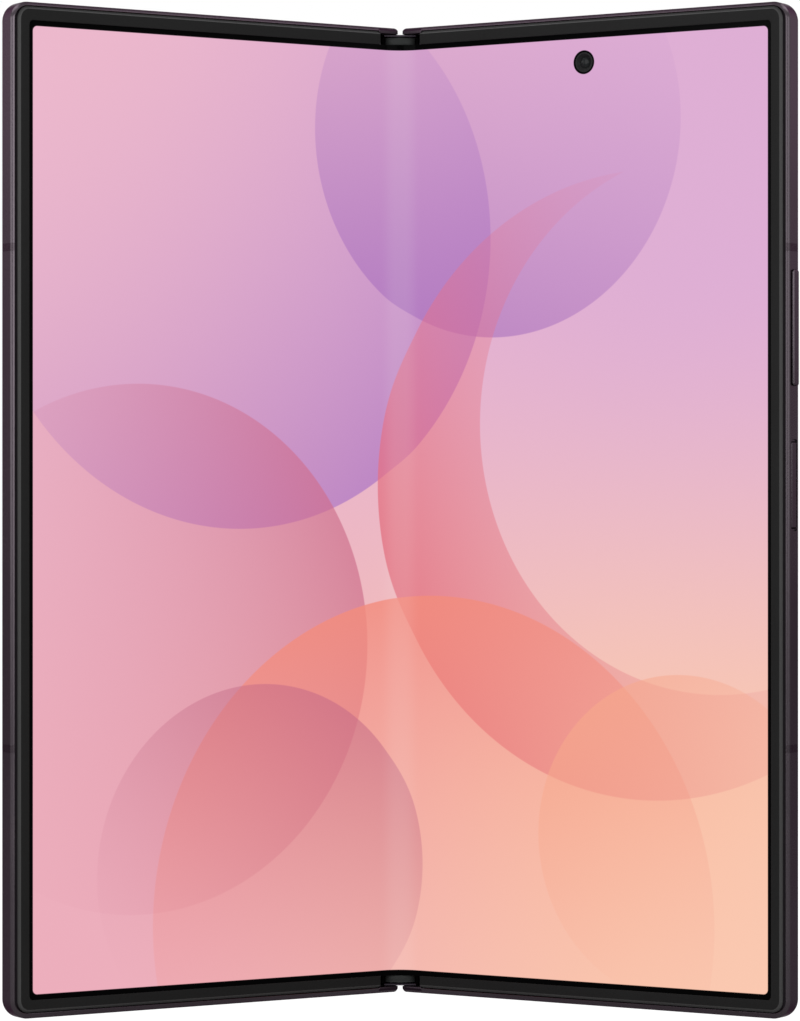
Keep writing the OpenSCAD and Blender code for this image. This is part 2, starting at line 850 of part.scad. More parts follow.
module charging_tongue() {
    color(dark_plastic) right_half()
        block(usb_x - 3.3, usb_x + 3.3, -half_h + 1.1, -half_h + 7.2, usb_z - 0.35,
              usb_z + 0.35);
}

module loudspeaker() {
    color(dark_plastic) right_half()
        rounded_block(speaker_x - 1.5, inner_edge, -half_h + wall_t + 0.2, 22.7 - half_h, -3.2,
                      plate_back, 1);
}

module vibration_motor() {
    color(steel) right_half()
        rounded_block(inner_x + 1.3, inner_x + 11.8, -half_h + wall_t + 1, 6.2 - half_h, -3.3,
                      plate_back, 0.8);
}

module inner_camera() {
    color(dark_glass) right_half() {
        disc(camera_x, camera_y, camera_r, plate_back - 0.3, -screen_drop - 0.05);
        block(camera_x - 2.8, camera_x + 2.8, camera_y - 2.8, camera_y + 2.8, -3.3,
              plate_back - 0.1);
    }
}

// Key with a cap in the wall's slot and a flange that keeps it from falling out
module key(y, length, proud) {
    r = key_w / 2;
    flange_x = half_w - wall_t - 0.05;
    block(flange_x, half_w + proud, y - length / 2, y + length / 2, key_z - r, key_z + r);
    block(flange_x - 0.35, flange_x, y - length / 2 - 0.5, y + length / 2 + 0.5,
          key_z - r, plate_back - 0.05);
}

module volume_key() {
    color(metal) right_half() key(volume_y, volume_l, key_proud);
}

module side_key() {
    color(metal) right_half() key(side_y, side_l, -0.12);
}

// Strip with a dome switch behind each end of the volume key and behind the side key
module key_switches() {
    x = half_w - wall_t - 0.4;
    color(board_green) right_half() {
        block(x - 0.8, x - 0.6, side_y - 8, volume_y + 9.6, -3.2, plate_back);
        for (y = [volume_y - 6, volume_y + 6, side_y]) translate([x - 0.6, y, key_z])
            rotate([0, 90, 0]) cylinder(r = 0.7, h = 0.3);
    }
}

spine_cover();
hinge_end_caps();
arc_brackets();
gear_brackets();
gear_pins();
disc_spring_stacks();
bracket_screws();
screen_fold_zone();
hinge_flex_cables();
left_frame();
left_bezel();
left_antenna_bands();
left_hinge_arms();
left_arm_screws();
left_sync_arms();
left_idler_gears();
left_wing_plate();
left_wing_pins();
left_screen_panel();
left_battery();
left_board();
cover_glass();
cover_screen();
cover_camera();
earpiece_speaker();
card_tray();
card_tray_cage();
ejector_rod();
ejector_lever();
right_frame();
right_bezel();
right_antenna_bands();
right_hinge_arms();
right_arm_screws();
right_sync_arms();
right_idler_gears();
right_wing_plate();
right_wing_pins();
right_screen_panel();
right_battery();
main_board();
board_shields();
rear_glass();
camera_island();
camera_rings();
camera_modules();
camera_windows();
flash_window();
charging_coil();
charging_board();
charging_socket();
charging_tongue();
loudspeaker();
vibration_motor();
inner_camera();
volume_key();
side_key();
key_switches();
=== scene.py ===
import math

import bpy
import numpy as np
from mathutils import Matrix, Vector


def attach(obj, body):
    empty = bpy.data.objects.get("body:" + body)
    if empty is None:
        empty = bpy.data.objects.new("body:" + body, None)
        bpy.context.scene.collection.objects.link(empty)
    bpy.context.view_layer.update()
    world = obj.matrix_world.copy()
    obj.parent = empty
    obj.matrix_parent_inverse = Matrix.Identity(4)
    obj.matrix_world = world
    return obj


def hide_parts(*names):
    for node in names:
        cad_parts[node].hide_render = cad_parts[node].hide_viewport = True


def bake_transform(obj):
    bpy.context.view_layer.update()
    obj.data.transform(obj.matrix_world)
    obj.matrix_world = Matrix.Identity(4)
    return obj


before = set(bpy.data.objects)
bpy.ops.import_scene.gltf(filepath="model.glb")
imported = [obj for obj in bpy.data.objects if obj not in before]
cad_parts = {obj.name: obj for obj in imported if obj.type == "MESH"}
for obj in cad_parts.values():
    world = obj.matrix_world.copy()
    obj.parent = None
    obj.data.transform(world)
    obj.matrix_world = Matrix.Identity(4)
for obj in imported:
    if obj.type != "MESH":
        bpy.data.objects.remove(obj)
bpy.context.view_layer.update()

# ---------- camera and studio ----------
# A plain white studio. The phone stands half open like a book, a little above a pale floor, and
# the camera looks straight into its screen from the height of its middle, through a long lens.
# Sizes are in mm, and become metres where points are placed.

half_h = 79.2            # half the phone's height
fold_y = 16.6436         # where the bezels' face meets the middle of the fold
camera_away = 684.4      # from there to the camera
camera_drop = 0.054      # the camera stands this much below the phone's middle

camera = bpy.data.objects.new("camera", bpy.data.cameras.new("camera"))
camera.data.lens = 146.97
camera.data.clip_start, camera.data.clip_end = 0.01, 20
camera.location = (-0.000026, (fold_y - camera_away) / 1000, (half_h - camera_drop) / 1000)
camera.rotation_euler = (math.radians(90), 0, 0)
bpy.context.scene.collection.objects.link(camera)
bpy.context.scene.camera = camera
bpy.context.scene.view_settings.view_transform = "Standard"


def add(tree, kind, inputs=None, **settings):
    """Adds a shader node. An input is a socket to link from, or a plain value."""
    made = tree.nodes.new(kind)
    for key, value in settings.items():
        setattr(made, key, value)
    for key, value in (inputs or {}).items():
        if isinstance(value, bpy.types.NodeSocket):
            tree.links.new(value, made.inputs[key])
        else:
            made.inputs[key].default_value = value
    return made


def set_inputs(node, values):
    """Sets a node's inputs to plain values."""
    for label, value in values.items():
        node.inputs[label].default_value = value


def calc(tree, operation, *values):
    """Output of a Math node on one or two sockets or plain numbers."""
    return add(tree, "ShaderNodeMath", dict(enumerate(values)), operation=operation).outputs[0]


def seen_directly(tree, *flags):
    """1 for the kinds of ray that are named, and 0 for the light that falls on the phone."""
    path = add(tree, "ShaderNodeLightPath").outputs
    total = path[flags[0]]
    for flag in flags[1:]:
        total = calc(tree, "MAXIMUM", total, path[flag])
    return total


def empty_tree(owner):
    """The cleared node tree of a world or material."""
    owner.use_nodes = True
    owner.node_tree.nodes.clear()
    return owner.node_tree


world = bpy.data.worlds.new("white_studio")
bpy.context.scene.world = world
tree = empty_tree(world)
shown = add(tree, "ShaderNodeBackground", {"Color": (1, 1, 1, 1), "Strength": 1.0})
fill = add(tree, "ShaderNodeBackground", {"Color": (1, 1, 1, 1), "Strength": 0.9})
rays = seen_directly(tree, "Is Camera Ray", "Is Glossy Ray", "Is Transmission Ray")
mixed = add(tree, "ShaderNodeMixShader", {0: rays, 1: fill.outputs[0], 2: shown.outputs[0]})
add(tree, "ShaderNodeOutputWorld", {"Surface": mixed.outputs[0]})

floor_z, floor_half = -0.02, 6    # the paper's height and half its width, in metres
floor_mesh = bpy.data.meshes.new("floor")
floor_mesh.from_pydata([(x * floor_half, y * floor_half, floor_z)
                        for x, y in ((-1, -1), (1, -1), (1, 1), (-1, 1))], [], [(0, 1, 2, 3)])
floor = bpy.data.objects.new("floor", floor_mesh)
bpy.context.scene.collection.objects.link(floor)
paper = bpy.data.materials.new("white_paper")
tree = empty_tree(paper)
pale = add(tree, "ShaderNodeBsdfDiffuse", {"Color": (0.42, 0.42, 0.42, 1)})
shade = add(tree, "ShaderNodeBsdfDiffuse", {"Color": (0.1, 0.1, 0.1, 1)})
glow = add(tree, "ShaderNodeEmission", {"Color": (1, 1, 1, 1), "Strength": 0.94})
white = add(tree, "ShaderNodeAddShader", {0: shade.outputs[0], 1: glow.outputs[0]})
rays = seen_directly(tree, "Is Camera Ray", "Is Transmission Ray")
mixed = add(tree, "ShaderNodeMixShader", {0: rays, 1: pale.outputs[0], 2: white.outputs[0]})
add(tree, "ShaderNodeOutputMaterial", {"Surface": mixed.outputs[0]})
floor_mesh.materials.append(paper)


def softbox(name, at, width, height, radiance):
    """An area lamp turned to the middle of the phone. Its power is radiance times pi times area."""
    light = bpy.data.lights.new(name, "AREA")
    light.shape, light.size, light.size_y = "RECTANGLE", width, height
    light.energy = radiance * math.pi * width * height
    lamp = bpy.data.objects.new(name, light)
    lamp.location = at
    lamp.rotation_euler = (Vector((0, 0, half_h / 1000)) - lamp.location).to_track_quat(
        "-Z", "Y").to_euler()
    lamp.visible_camera = False
    bpy.context.scene.collection.objects.link(lamp)


softbox("softbox_front_left", (-0.50, -0.68, 0.30), 0.72, 0.50, 3.4)
softbox("softbox_front_right", (0.45, -0.72, 0.30), 0.60, 0.50, 2.2)
softbox("softbox_side_left", (-0.89, -0.10, 0.25), 0.40, 0.40, 2.4)
softbox("softbox_side_right", (0.86, -0.24, 0.25), 0.36, 0.40, 1.7)
halves = ((1, "right"), (-1, "left"))    # the side of x, and its name
for side, word in halves:
    softbox("softbox_top_" + word, (side * 0.55, 0.20, 0.95), 0.60, 0.60, 2.9)
    softbox("softbox_rear_" + word, (side * 0.88, 0.60, 0.48), 0.50, 0.56, 0.9)

# ---------- the two metal frames ----------
# Each half has a milled aluminium frame, bead blasted and anodised in a dark plum. Its rim is
# rounded over to the screen side and to the back, and is cut for keys, sound, card and socket.

half_w = 71.6            # middle of the fold to the outer edge
corner_r = 2.97
body_t = 4.2
axis_x, axis_drop = 1.2, 0.97    # fold axis: from the middle, and below the bezels' face
fold = math.radians(32.3)
glass_top = -3.85        # heights over the bezels' face: inner face of the back glass,
screen_back = -1.10      # back of the screen
plate_back = -1.50       # and back of the mid plate


def on_half(side, u, y, n):
    """Places points of the flat half in the scene: u outwards from the fold, y up from mid-height
    and n out of the bezel's face, turned about the fold axis by the fold angle. side is 1 for
    the right half and -1 for the left one, which is its mirror image."""
    u, y, n = np.broadcast_arrays(u, y, n)
    out, up = u - axis_x, n + axis_drop
    x = axis_x + out * math.cos(fold) - up * math.sin(fold)
    v = -axis_drop + out * math.sin(fold) + up * math.cos(fold)
    return np.stack([side * x, fold_y - v, y + half_h], -1) / 1000


def on_spine(side, x, y, n):
    """Places points that stay with the upright spine: x across, y up and n towards the front."""
    x, y, n = np.broadcast_arrays(x, y, n)
    return np.stack([side * x, fold_y - n, y + half_h], -1) / 1000


def skin(name, rings, loop=False, sharp=32):
    """A closed surface through rings of points, an array of rings x points x 3. Each ring is
    joined to the next one by quads. With loop the last ring meets the first, and without it the
    two ends are closed by a face. The faces are turned round if they enclose a negative volume."""
    count, around = rings.shape[:2]
    steps = count if loop else count - 1
    i = np.arange(steps)[:, None]
    j = np.arange(around)[None, :]
    here, there = i * around, ((i + 1) % count) * around
    after = (j + 1) % around
    quads = np.stack([here + j, here + after, there + after, there + j], -1).reshape(-1, 4)
    points = rings.reshape(-1, 3)
    a, b, c, d = (points[quads[:, k]] for k in range(4))
    volume = np.einsum("ij,ij->i", a, np.cross(b, c) + np.cross(c, d)).sum()
    ends = [] if loop else [np.arange(around)[::-1], (count - 1) * around + np.arange(around)]
    for end in ends:
        fan = points[end] - points[end[0]]
        volume += (points[end[0]] @ np.cross(fan[1:-1], fan[2:]).sum(0))
    faces = [q[::-1] if volume < 0 else q for q in [*quads, *ends]]
    mesh = bpy.data.meshes.new(name)
    mesh.from_pydata(points.tolist(), [], [f.tolist() for f in faces])
    return shown_piece(name, mesh, sharp)


def shown_piece(name, mesh, sharp=32):
    """An object for a mesh, smooth except along edges sharper than an angle in degrees."""
    mesh.polygons.foreach_set("use_smooth", np.ones(len(mesh.polygons), bool))
    mesh.set_sharp_from_angle(angle=math.radians(sharp))
    piece = bpy.data.objects.new(name, mesh)
    bpy.context.scene.collection.objects.link(piece)
    return piece


def cut(piece, cutters, sharp=32):
    """Takes the cutters out of a piece for good, and removes them."""
    for cutter in cutters:
        step = piece.modifiers.new("cut", "BOOLEAN")
        step.operation, step.object, step.solver = "DIFFERENCE", cutter, "EXACT"
    graph = bpy.context.evaluated_depsgraph_get()
    made = bpy.data.meshes.new_from_object(piece.evaluated_get(graph))
    piece.modifiers.clear()
    piece.data = made
    made.set_sharp_from_angle(angle=math.radians(sharp))
    for cutter in cutters:
        bpy.data.objects.remove(cutter)
    return piece


def bowed(start, end, bulge, steps):
    """Points of a flat parabola between two profile points. It bulges to the left of its
    direction by a share of its chord."""
    t = np.linspace(0, 1, steps + 1)
    dx, dy = end[0] - start[0], end[1] - start[1]
    lift = 4 * bulge * t * (1 - t)
    return [(start[0] + dx * k - dy * h, start[1] + dy * k + dx * h) for k, h in zip(t, lift)]


def quarter(start, end, steps, first="d"):
    """Quarter of an ellipse between two profile points. It leaves the first point along the
    depth (first="d") or along the height (first="n"), and reaches the second square to that."""
    a = np.linspace(0, math.pi / 2, steps + 1)
    fast, slow = np.sin(a), 1 - np.cos(a)
    d, n = (fast, slow) if first == "d" else (slow, fast)
    return [(start[0] + (end[0] - start[0]) * p, start[1] + (end[1] - start[1]) * q)
            for p, q in zip(d, n)]


def rim_path(x0, ends, marks):
    """Stations round the three outer sides of a half, from the fold along the bottom edge, up the
    outer side and back along the top edge. Returns columns of the outer point (u, y), the outward
    normal, the distance from the nearer end, and how far the station faces up or down (0 on the
    outer side, 1 on the top and bottom edges, and a smooth step between them round the corners).
    The lower half is worked out, and mirrored for the upper one."""
    straight = half_w - corner_r - x0
    along = np.unique(np.concatenate([ends, np.linspace(ends[-1], straight, 4)]))
    turn = np.linspace(0, math.pi / 2, 17)[1:-1]
    reach = half_h - corner_r
    side_y = np.unique(np.concatenate([[-reach, reach], np.linspace(-reach, reach, 7), marks]))
    u = np.concatenate([x0 + along, half_w - corner_r + corner_r * np.sin(turn)])
    y = np.concatenate([np.full(len(along), -half_h), -reach - corner_r * np.cos(turn)])
    nu = np.concatenate([np.zeros(len(along)), np.sin(turn)])
    ny = np.concatenate([np.full(len(along), -1.0), -np.cos(turn)])
    ease = np.concatenate([np.zeros(len(along)), turn / (math.pi / 2)])
    flat = 1 - ease * ease * (3 - 2 * ease)
    t = np.concatenate([along, np.full(len(turn), straight)])

    def whole(lower, side, mirror=1):
        middle = np.full(len(side_y), side)
        return np.concatenate([lower, middle, mirror * lower[::-1]])[:, None]

    return (whole(u, half_w), whole(y, side_y, -1), whole(nu, 1.0), whole(ny, 0.0, -1),
            whole(t, straight), whole(flat, 0.0))


def rounding(t, radius):
    """How far a corner of some radius falls back at distance t from the end face."""
    rest = np.clip(radius - t, 0, radius)
    return radius - np.sqrt(radius * radius - rest * rest)


def by_edge(sizes, ny, flat):
    """A size along the path: the outer side's own, eased round the corners into the top edge's or
    the bottom edge's."""
    return sizes["side"] * (1 - flat) + np.where(ny > 0, sizes["top"], sizes["bottom"]) * flat


def profiles(made, ny, flat):
    """Depths and heights of a section along the path, eased as a size is. made gives the section
    for each edge's name."""
    return by_edge({edge: np.array(made(edge)).T[:, None] for edge in gap_inner}, ny, flat)


band_ys = [40.9, -37.1]
band_w, band_depth = 1.2, 0.56
gap_inner = {"side": 0.42, "top": 0.64, "bottom": 0.88}    # depth where the metal meets the gap
side_bulge, end_bulge = -0.075, -0.03    # of the bevel, at the sides and the top and bottom edges
shelf_edge = 1.02        # depth of the metal's inner edge beside the hinge
shelf_end = 3.74         # and how far from the rim's end face that shelf reaches
end_r = 0.45             # rounding of the outer wall into the end face


def rim_profile(edge, bulge=side_bulge, bevel=None):
    """Closed section of the rim as (depth, height) points, with its inner edge at some depth and
    some bulge of the bevel, which starts at the edge or at a depth of its own."""
    bevel = bevel or edge - 0.05
    return [(edge, screen_back), (edge, -0.06), (edge - 0.02, -0.02),
            *bowed((bevel, 0), (0, -0.79), bulge, 12), (0, -0.86), (0, -2.0), (0, -3.03),
            *quarter((0, -3.08), (0.72, -body_t), 12, "n"), (0.78, -body_t), (0.9, -body_t),
            (0.9, glass_top), (2.2, glass_top), (2.2, -3.45), (1.4, -3.45), (1.4, plate_back),
            (1.6, plate_back), (1.6, screen_back)]


def rim(side, name):
    """Carries the rim's profile round three sides. The metal's inner edge moves from the side's
    width to the top's round the corners, and steps in beside the hinge, where no bezel lies on
    it. Near the fold the outer edges are rounded off and the end face slants back."""
    ends = np.concatenate([np.linspace(0, end_r, 9),
                           [0.6, shelf_end - 0.02, shelf_end + 0.02, 6]])
    marks = np.concatenate([[y - band_w / 2 - 0.01, y - band_w / 2, y + band_w / 2,
                             y + band_w / 2 + 0.01] for y in band_ys])
    u, y, nu, ny, t, flat = rim_path(0.3, ends, marks)
    d, n = profiles(lambda edge: rim_profile(
        gap_inner[edge], side_bulge if edge == "side" else end_bulge), ny, flat)
    beside, _ = profiles(lambda edge: rim_profile(
        shelf_edge, end_bulge, gap_inner[edge] - 0.05), ny, flat)
    wall = shelf_edge + 0.02 * np.linspace(0, 1, d.shape[1])
    d = np.where(t < shelf_end, np.minimum(beside, wall), d)
    d = np.maximum(d, rounding(t, end_r))
    n = np.clip(n, -body_t + rounding(t, 0.25), -rounding(t, 0.2))
    banded = np.any([np.abs(y - b) < band_w / 2 + 0.005 for b in band_ys], 0) & (nu == 1)
    n = np.where(banded & (d < band_depth), np.minimum(n, screen_back), n)
    d = np.where(banded, np.maximum(d, band_depth), d)
    # the slant is greatest in front, and dies out 3.5 mm behind it and 20 mm along the edge
    slant = 0.47 * np.clip(1 + n / 3.5, 0, 1) * np.clip(1 - t / 20, 0, 1)
    return skin(name, on_half(side, u - nu * d + slant * (nu == 0), y - ny * d, n))


def outline(x0, x1, y0, y1, radii, inset, steps=8):
    """Points round a rectangle with four corner radii (from x1, y1 anticlockwise), moved inwards
    by an inset. A radius shrinks with the inset, down to nothing."""
    corners = [(x1, y1, 0), (x0, y1, 1), (x0, y0, 2), (x1, y0, 3)]
    points = []
    for (cx, cy, k), radius in zip(corners, radii):
        sx, sy = (1 if cx == x1 else -1), (1 if cy == y1 else -1)
        a = np.linspace(0, math.pi / 2, steps + 1) + k * math.pi / 2
        r = max(radius - inset, 0.001)
        keep = max(radius, inset + 0.001)
        points.append(np.stack([cx - sx * keep + r * np.cos(a),
                                cy - sy * keep + r * np.sin(a)], -1))
    return np.concatenate(points)


def slab(name, place, x0, x1, y0, y1, radii, layers, steps=8, sharp=32):
    """A plate with rounded corners. layers are (inset, height) pairs from its underside round its
    edge to its top, and place turns (x, y, height) into points of the scene."""
    rings = [place(*outline(x0, x1, y0, y1, radii, inset, steps).T, height)
             for inset, height in layers]
    return skin(name, np.array(rings), sharp=sharp)


def disc_piece(name, place, cx, cy, profile, around=48, loop=False, sharp=32):
    """A turned piece: (radius, height) points carried round an axis at (cx, cy)."""
    a = np.linspace(0, 2 * math.pi, around, endpoint=False)
    r, h = np.array(profile, float).T
    return skin(name, place(cx + r[:, None] * np.cos(a), cy + r[:, None] * np.sin(a),
                            h[:, None]), loop=loop, sharp=sharp)


def face_of(side):
    """Places (u, y, n) on one half."""
    return lambda x, y, h: on_half(side, x, y, h)


def wall_of(side, edge):
    """Places (u, n, height over the wall) on a half's top wall (edge 1) or bottom wall (-1)."""
    return lambda x, y, h: on_half(side, x, edge * (half_h + h), y)


def flank_of(side):
    """Places (y, n, height over the wall) on a half's outer wall."""
    return lambda x, y, h: on_half(side, half_w + h, x, y)


hole_n = -2.2            # height of the sound holes and keys in the wall
hole_pitch = 1.9


def sound_holes(side, edge, first, count, radius=0.45):
    """Cutters for a row of round holes in a top or bottom wall."""
    return [disc_piece("cutter", wall_of(side, edge), first + hole_pitch * i, hole_n,
                       [(radius, -3), (radius, 1)], 20) for i in range(count)]


def through(side_place, x0, x1, y0, y1, radius, depth=3.0):
    """Cutter for a slot with rounded corners through a wall."""
    return slab("cutter", side_place, x0, x1, y0, y1, [radius] * 4, [(0, -depth), (0, 1)], 6)


tray_x, tray_half = 24.0, 7.1
socket_x, socket_n, socket_half_w, socket_half_t = 36.0, -2.47, 4.27, 1.28
# where each row of sound holes begins, and the hole of the microphone
earpiece_x, left_speaker_x, right_speaker_x, microphone_x = 44, 50, 48, 24
left_rim = rim(-1, "left_rim")
cut(left_rim, [through(wall_of(-1, 1), tray_x - tray_half, tray_x + tray_half, -3.4, -1.6, 0.9),
               *sound_holes(-1, 1, earpiece_x, 6), *sound_holes(-1, -1, left_speaker_x, 5)])
# middle, length and how far it stands proud of the wall
keys = {"volume_key": (28.4, 18.0, 0.40), "side_key": (3.9, 13.5, -0.04)}
key_half, key_gap = 0.9, 0.06    # half a key's width, and the gap round it
slots = [through(flank_of(1), y - length / 2 - key_gap, y + length / 2 + key_gap,
                 hole_n - key_half - key_gap, hole_n + key_half + key_gap, 0.46)
         for y, length, _ in keys.values()]
side_y, side_l, _ = keys["side_key"]
recess = slab("cutter", flank_of(1), side_y - side_l / 2 - 0.4, side_y + side_l / 2 + 0.4,
              hole_n - key_half - 0.15, hole_n + key_half + 0.15, [0.6] * 4,
              [(0.06, -0.2), (0, -0.05), (0, 1)], 6)
right_rim = rim(1, "right_rim")
cut(right_rim, [*slots, recess,
                through(wall_of(1, -1), socket_x - socket_half_w, socket_x + socket_half_w,
                        socket_n - socket_half_t, socket_n + socket_half_t, socket_half_t),
                *sound_holes(1, -1, right_speaker_x, 6),
                *sound_holes(1, -1, microphone_x, 1, 0.35)])


def new_group(name, inputs, outputs):
    """A node group with named sockets, and the sockets that its inputs come in by."""
    group = bpy.data.node_groups.new(name, "ShaderNodeTree")
    for way, sockets in (("INPUT", inputs), ("OUTPUT", outputs)):
        for label, kind in sockets.items():
            group.interface.new_socket(label, in_out=way, socket_type="NodeSocket" + kind)
    return group, add(group, "NodeGroupInput").outputs


def ramp(tree, value, low, high, start=0.0, end=1.0, kind="LINEAR"):
    """Output of a Map Range node: from start to end while the value goes from low to high."""
    return add(tree, "ShaderNodeMapRange", {
        "Value": value, "From Min": low, "From Max": high, "To Min": start, "To Max": end},
        interpolation_type=kind).outputs[0]


def mix(tree, factor, a, b):
    """Mixes two colours, each a socket or a plain colour."""
    return add(tree, "ShaderNodeMix", {"Factor": factor, 6: a, 7: b}, data_type="RGBA").outputs[2]


def grain_group():
    """Fine unevenness of a finish: two scales of noise set how far the colour moves from the
    first to the second one, where the roughness lies between two limits, and the height."""
    group, given = new_group("fine_grain", {
        "Colour": "Color", "Second colour": "Color", "Stretch": "Vector", "Grain scale": "Float",
        "Cloud scale": "Float", "Smoothest": "Float", "Roughest": "Float"},
        {"Colour": "Color", "Roughness": "Float", "Height": "Float"})
    at = add(group, "ShaderNodeVectorMath", {
        0: add(group, "ShaderNodeTexCoord").outputs["Object"], 1: given["Stretch"]},
        operation="MULTIPLY").outputs[0]
    fine, cloud = (add(group, "ShaderNodeTexNoise", {
        "Vector": at, "Scale": given[scale], "Detail": detail}).outputs["Fac"]
        for scale, detail in (("Grain scale", 2.0), ("Cloud scale", 3.0)))
    share = ramp(group, calc(group, "ADD", fine, cloud), 0.7, 1.3)
    add(group, "NodeGroupOutput", {
        "Colour": mix(group, share, given["Colour"], given["Second colour"]),
        "Roughness": ramp(group, share, 0.0, 1.0, given["Smoothest"], given["Roughest"]),
        "Height": fine})
    return group


fine_grain = grain_group()


def finish(name, colour, second, rough, metallic=0.0, specular=0.5, grain=4000.0, cloud=40.0,
           stretch=(1, 1, 1), bump=0.0, bump_mm=0.01, coat=0.0, clear=0.0, edge=(1, 1, 1)):
    """A material with fine grain: two colours, a pair of roughness limits and a grain height.
    edge tints what is seen at a glancing angle."""
    material = bpy.data.materials.new(name)
    material.use_nodes = True
    tree = material.node_tree
    principled = tree.nodes["Principled BSDF"]
    set_inputs(principled, {
        "Metallic": metallic, "Specular IOR Level": specular, "Coat Weight": coat,
        "Transmission Weight": clear, "Specular Tint": (*edge, 1)})
    group = add(tree, "ShaderNodeGroup", node_tree=fine_grain)
    set_inputs(group, {
        "Colour": (*colour, 1), "Second colour": (*second, 1), "Stretch": stretch,
        "Grain scale": grain, "Cloud scale": cloud, "Smoothest": rough[0], "Roughest": rough[1]})
    tree.links.new(group.outputs["Colour"], principled.inputs["Base Color"])
    tree.links.new(group.outputs["Roughness"], principled.inputs["Roughness"])
    if bump:
        raised = add(tree, "ShaderNodeBump", {"Strength": bump, "Distance": bump_mm / 1000,
                                              "Height": group.outputs["Height"]})
        tree.links.new(raised.outputs[0], principled.inputs["Normal"])
    return material


plum_edge = (0.42, 0.36, 0.40)    # the dye darkens glancing light and leaves it a little purple


def anodised(name, colour, second, rough, **more):
    """Fine blasted metal with the plum dye's edge tint."""
    return finish(name, colour, second, rough, metallic=1.0,
                  **{"grain": 9000.0, "edge": plum_edge, **more})


plum_metal = anodised("plum_anodised_aluminium", (0.059, 0.049, 0.057), (0.067, 0.056, 0.065),
                      (0.22, 0.30), bump=0.12, bump_mm=0.004)


def dress(piece, material, body=None, slot=None, *stands_for):
    """Gives a piece its material, and a new piece its body, and hides the nodes it replaces. slot
    is not used.
    """
    piece.data.materials.clear()
    piece.data.materials.append(material)
    if body:
        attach(piece, body)
    if stands_for:
        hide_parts(*stands_for)
    return piece


def dress_nodes(finishes):
    """Gives CAD nodes their materials, from pairs of a material and the names of its nodes."""
    for material, nodes in finishes:
        for node in nodes:
            dress(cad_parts[node], material)


def frame_inside(side, name):
    """The frame's mid plate behind the screen, which begins beyond the hinge, and the strip that
    closes the back between the glass and the fold."""
    inset, strip_inset = 1.5, 0.76
    plate = slab(name + "_mid_plate", face_of(side), 13.6, half_w - inset, inset - half_h,
                 half_h - inset, [2, 0.3, 0.3, 2], [(0, plate_back), (0, screen_back - 0.01)])
    strip = slab(name + "_back_strip", face_of(side), 0.35, 4.65, strip_inset - half_h,
                 half_h - strip_inset, [0.1] * 4,
                 [(0, -3.4), (0, -body_t + 0.08), (0.03, -body_t + 0.02), (0.08, -body_t),
                  (0.12, -body_t)], 3)
    return plate, strip


def flat_place(piece, side):
    """u and n of the middle of each face of a piece on one half, turned back about the axis."""
    centre = np.empty(len(piece.data.polygons) * 3, np.float32)
    piece.data.polygons.foreach_get("center", centre)
    x, y, _ = centre.reshape(-1, 3).T * 1000.0
    x, v = side * x - axis_x, fold_y - y + axis_drop
    return (axis_x + x * math.cos(fold) + v * math.sin(fold),
            v * math.cos(fold) - x * math.sin(fold) - axis_drop)


# the narrow shelves of the rims beside the hinge are rougher, and their darker colour is painted
# shade
shaded_shelf_metal = anodised("matt_shaded_hinge_shelf", (0.022, 0.016, 0.021), (0.025, 0.019, 0.024),
                       (0.32, 0.40))
for side, half in halves:
    metal_rim = right_rim if side > 0 else left_rim
    for piece in (metal_rim, *frame_inside(side, half)):
        dress(piece, plum_metal, half + "_half", "frame_metal", half + "_frame")
    metal_rim.data.materials.append(shaded_shelf_metal)
    u, n = flat_place(metal_rim, side)
    # painted shade: the shelf faces beside the hinge take the darker material
    shelf = (u < 4.3) & (n > -0.36)
    metal_rim.data.polygons.foreach_set("material_index", shelf.astype(np.int32))

# ---------- antenna bands ----------
# Two moulded plastic breaks in each outer wall part the metal into aerials. They are filled flush
# with the rim before it is anodised, and are nearly its colour.

band_plastic = anodised("plum_band_lacquer", (0.042, 0.034, 0.040), (0.048, 0.039, 0.046),
                        (0.24, 0.32), grain=3000.0)
for side, half in halves:
    section = np.array([(d, n) for d, n in rim_profile(gap_inner["side"]) if d < band_depth])
    root = band_depth - 0.005
    section = np.concatenate([[(root, section[0, 1])], section, [(root, section[-1, 1])]])
    for place, y in zip(("upper", "lower"), band_ys):
        d, n = section.T
        ys = np.array([y - band_w / 2, y + band_w / 2])[:, None]
        band = skin(f"{half}_{place}_band", on_half(side, half_w - d, ys, n))
        dress(band, band_plastic, half + "_half", "band_plastic", half + "_antenna_bands")

# ---------- keys ----------
# Two aluminium keys in the right half's outer wall, anodised with the frame. The volume key
# stands proud, and the side key with its finger sensor lies in a shallow recess.

for name, (y, length, proud) in keys.items():
    spare = 0.10 if proud < 0 else 0.0    # the recessed key is a little narrower
    layers = [(spare, -1.2), (spare, proud - 0.2),
              *quarter((spare, proud - 0.2), (0.2, proud), 5, "n"), (0.24, proud)]
    key = slab(name + "_cap", flank_of(1), y - length / 2, y + length / 2, hole_n - key_half,
               hole_n + key_half, [0.4] * 4, layers, 6)
    dress(key, plum_metal, name, "frame_metal", name)
key_board = finish("key_flex", (0.05, 0.13, 0.09), (0.06, 0.16, 0.11), (0.4, 0.55), grain=900.0)
dress_nodes([(key_board, ["key_switches"])])

# ---------- bezels ----------
# A U of moulded black plastic lies round the screen of each half, glued over the screen's edge.
# Its outer edge is chamfered, with a lighter colour on the chamfer as a painted highlight, its face
# is matt, and its ends stop short of the hinge.

bezel_start = 4.12       # its ends, from the middle of the fold
bezel_outer = {"side": 1.08, "top": 0.67, "bottom": 0.95}    # depths of its outer edge,
bezel_flat = {"side": 1.51, "top": 1.16, "bottom": 1.42}     # where the chamfer meets the face
bezel_inner = {"side": 2.99, "top": 2.90, "bottom": 2.90}    # and its inner edge
bezel_middle = 1.9       # depth on its face that parts the outer edge from the inner one
opening_r = 0.70         # of the opening's corners


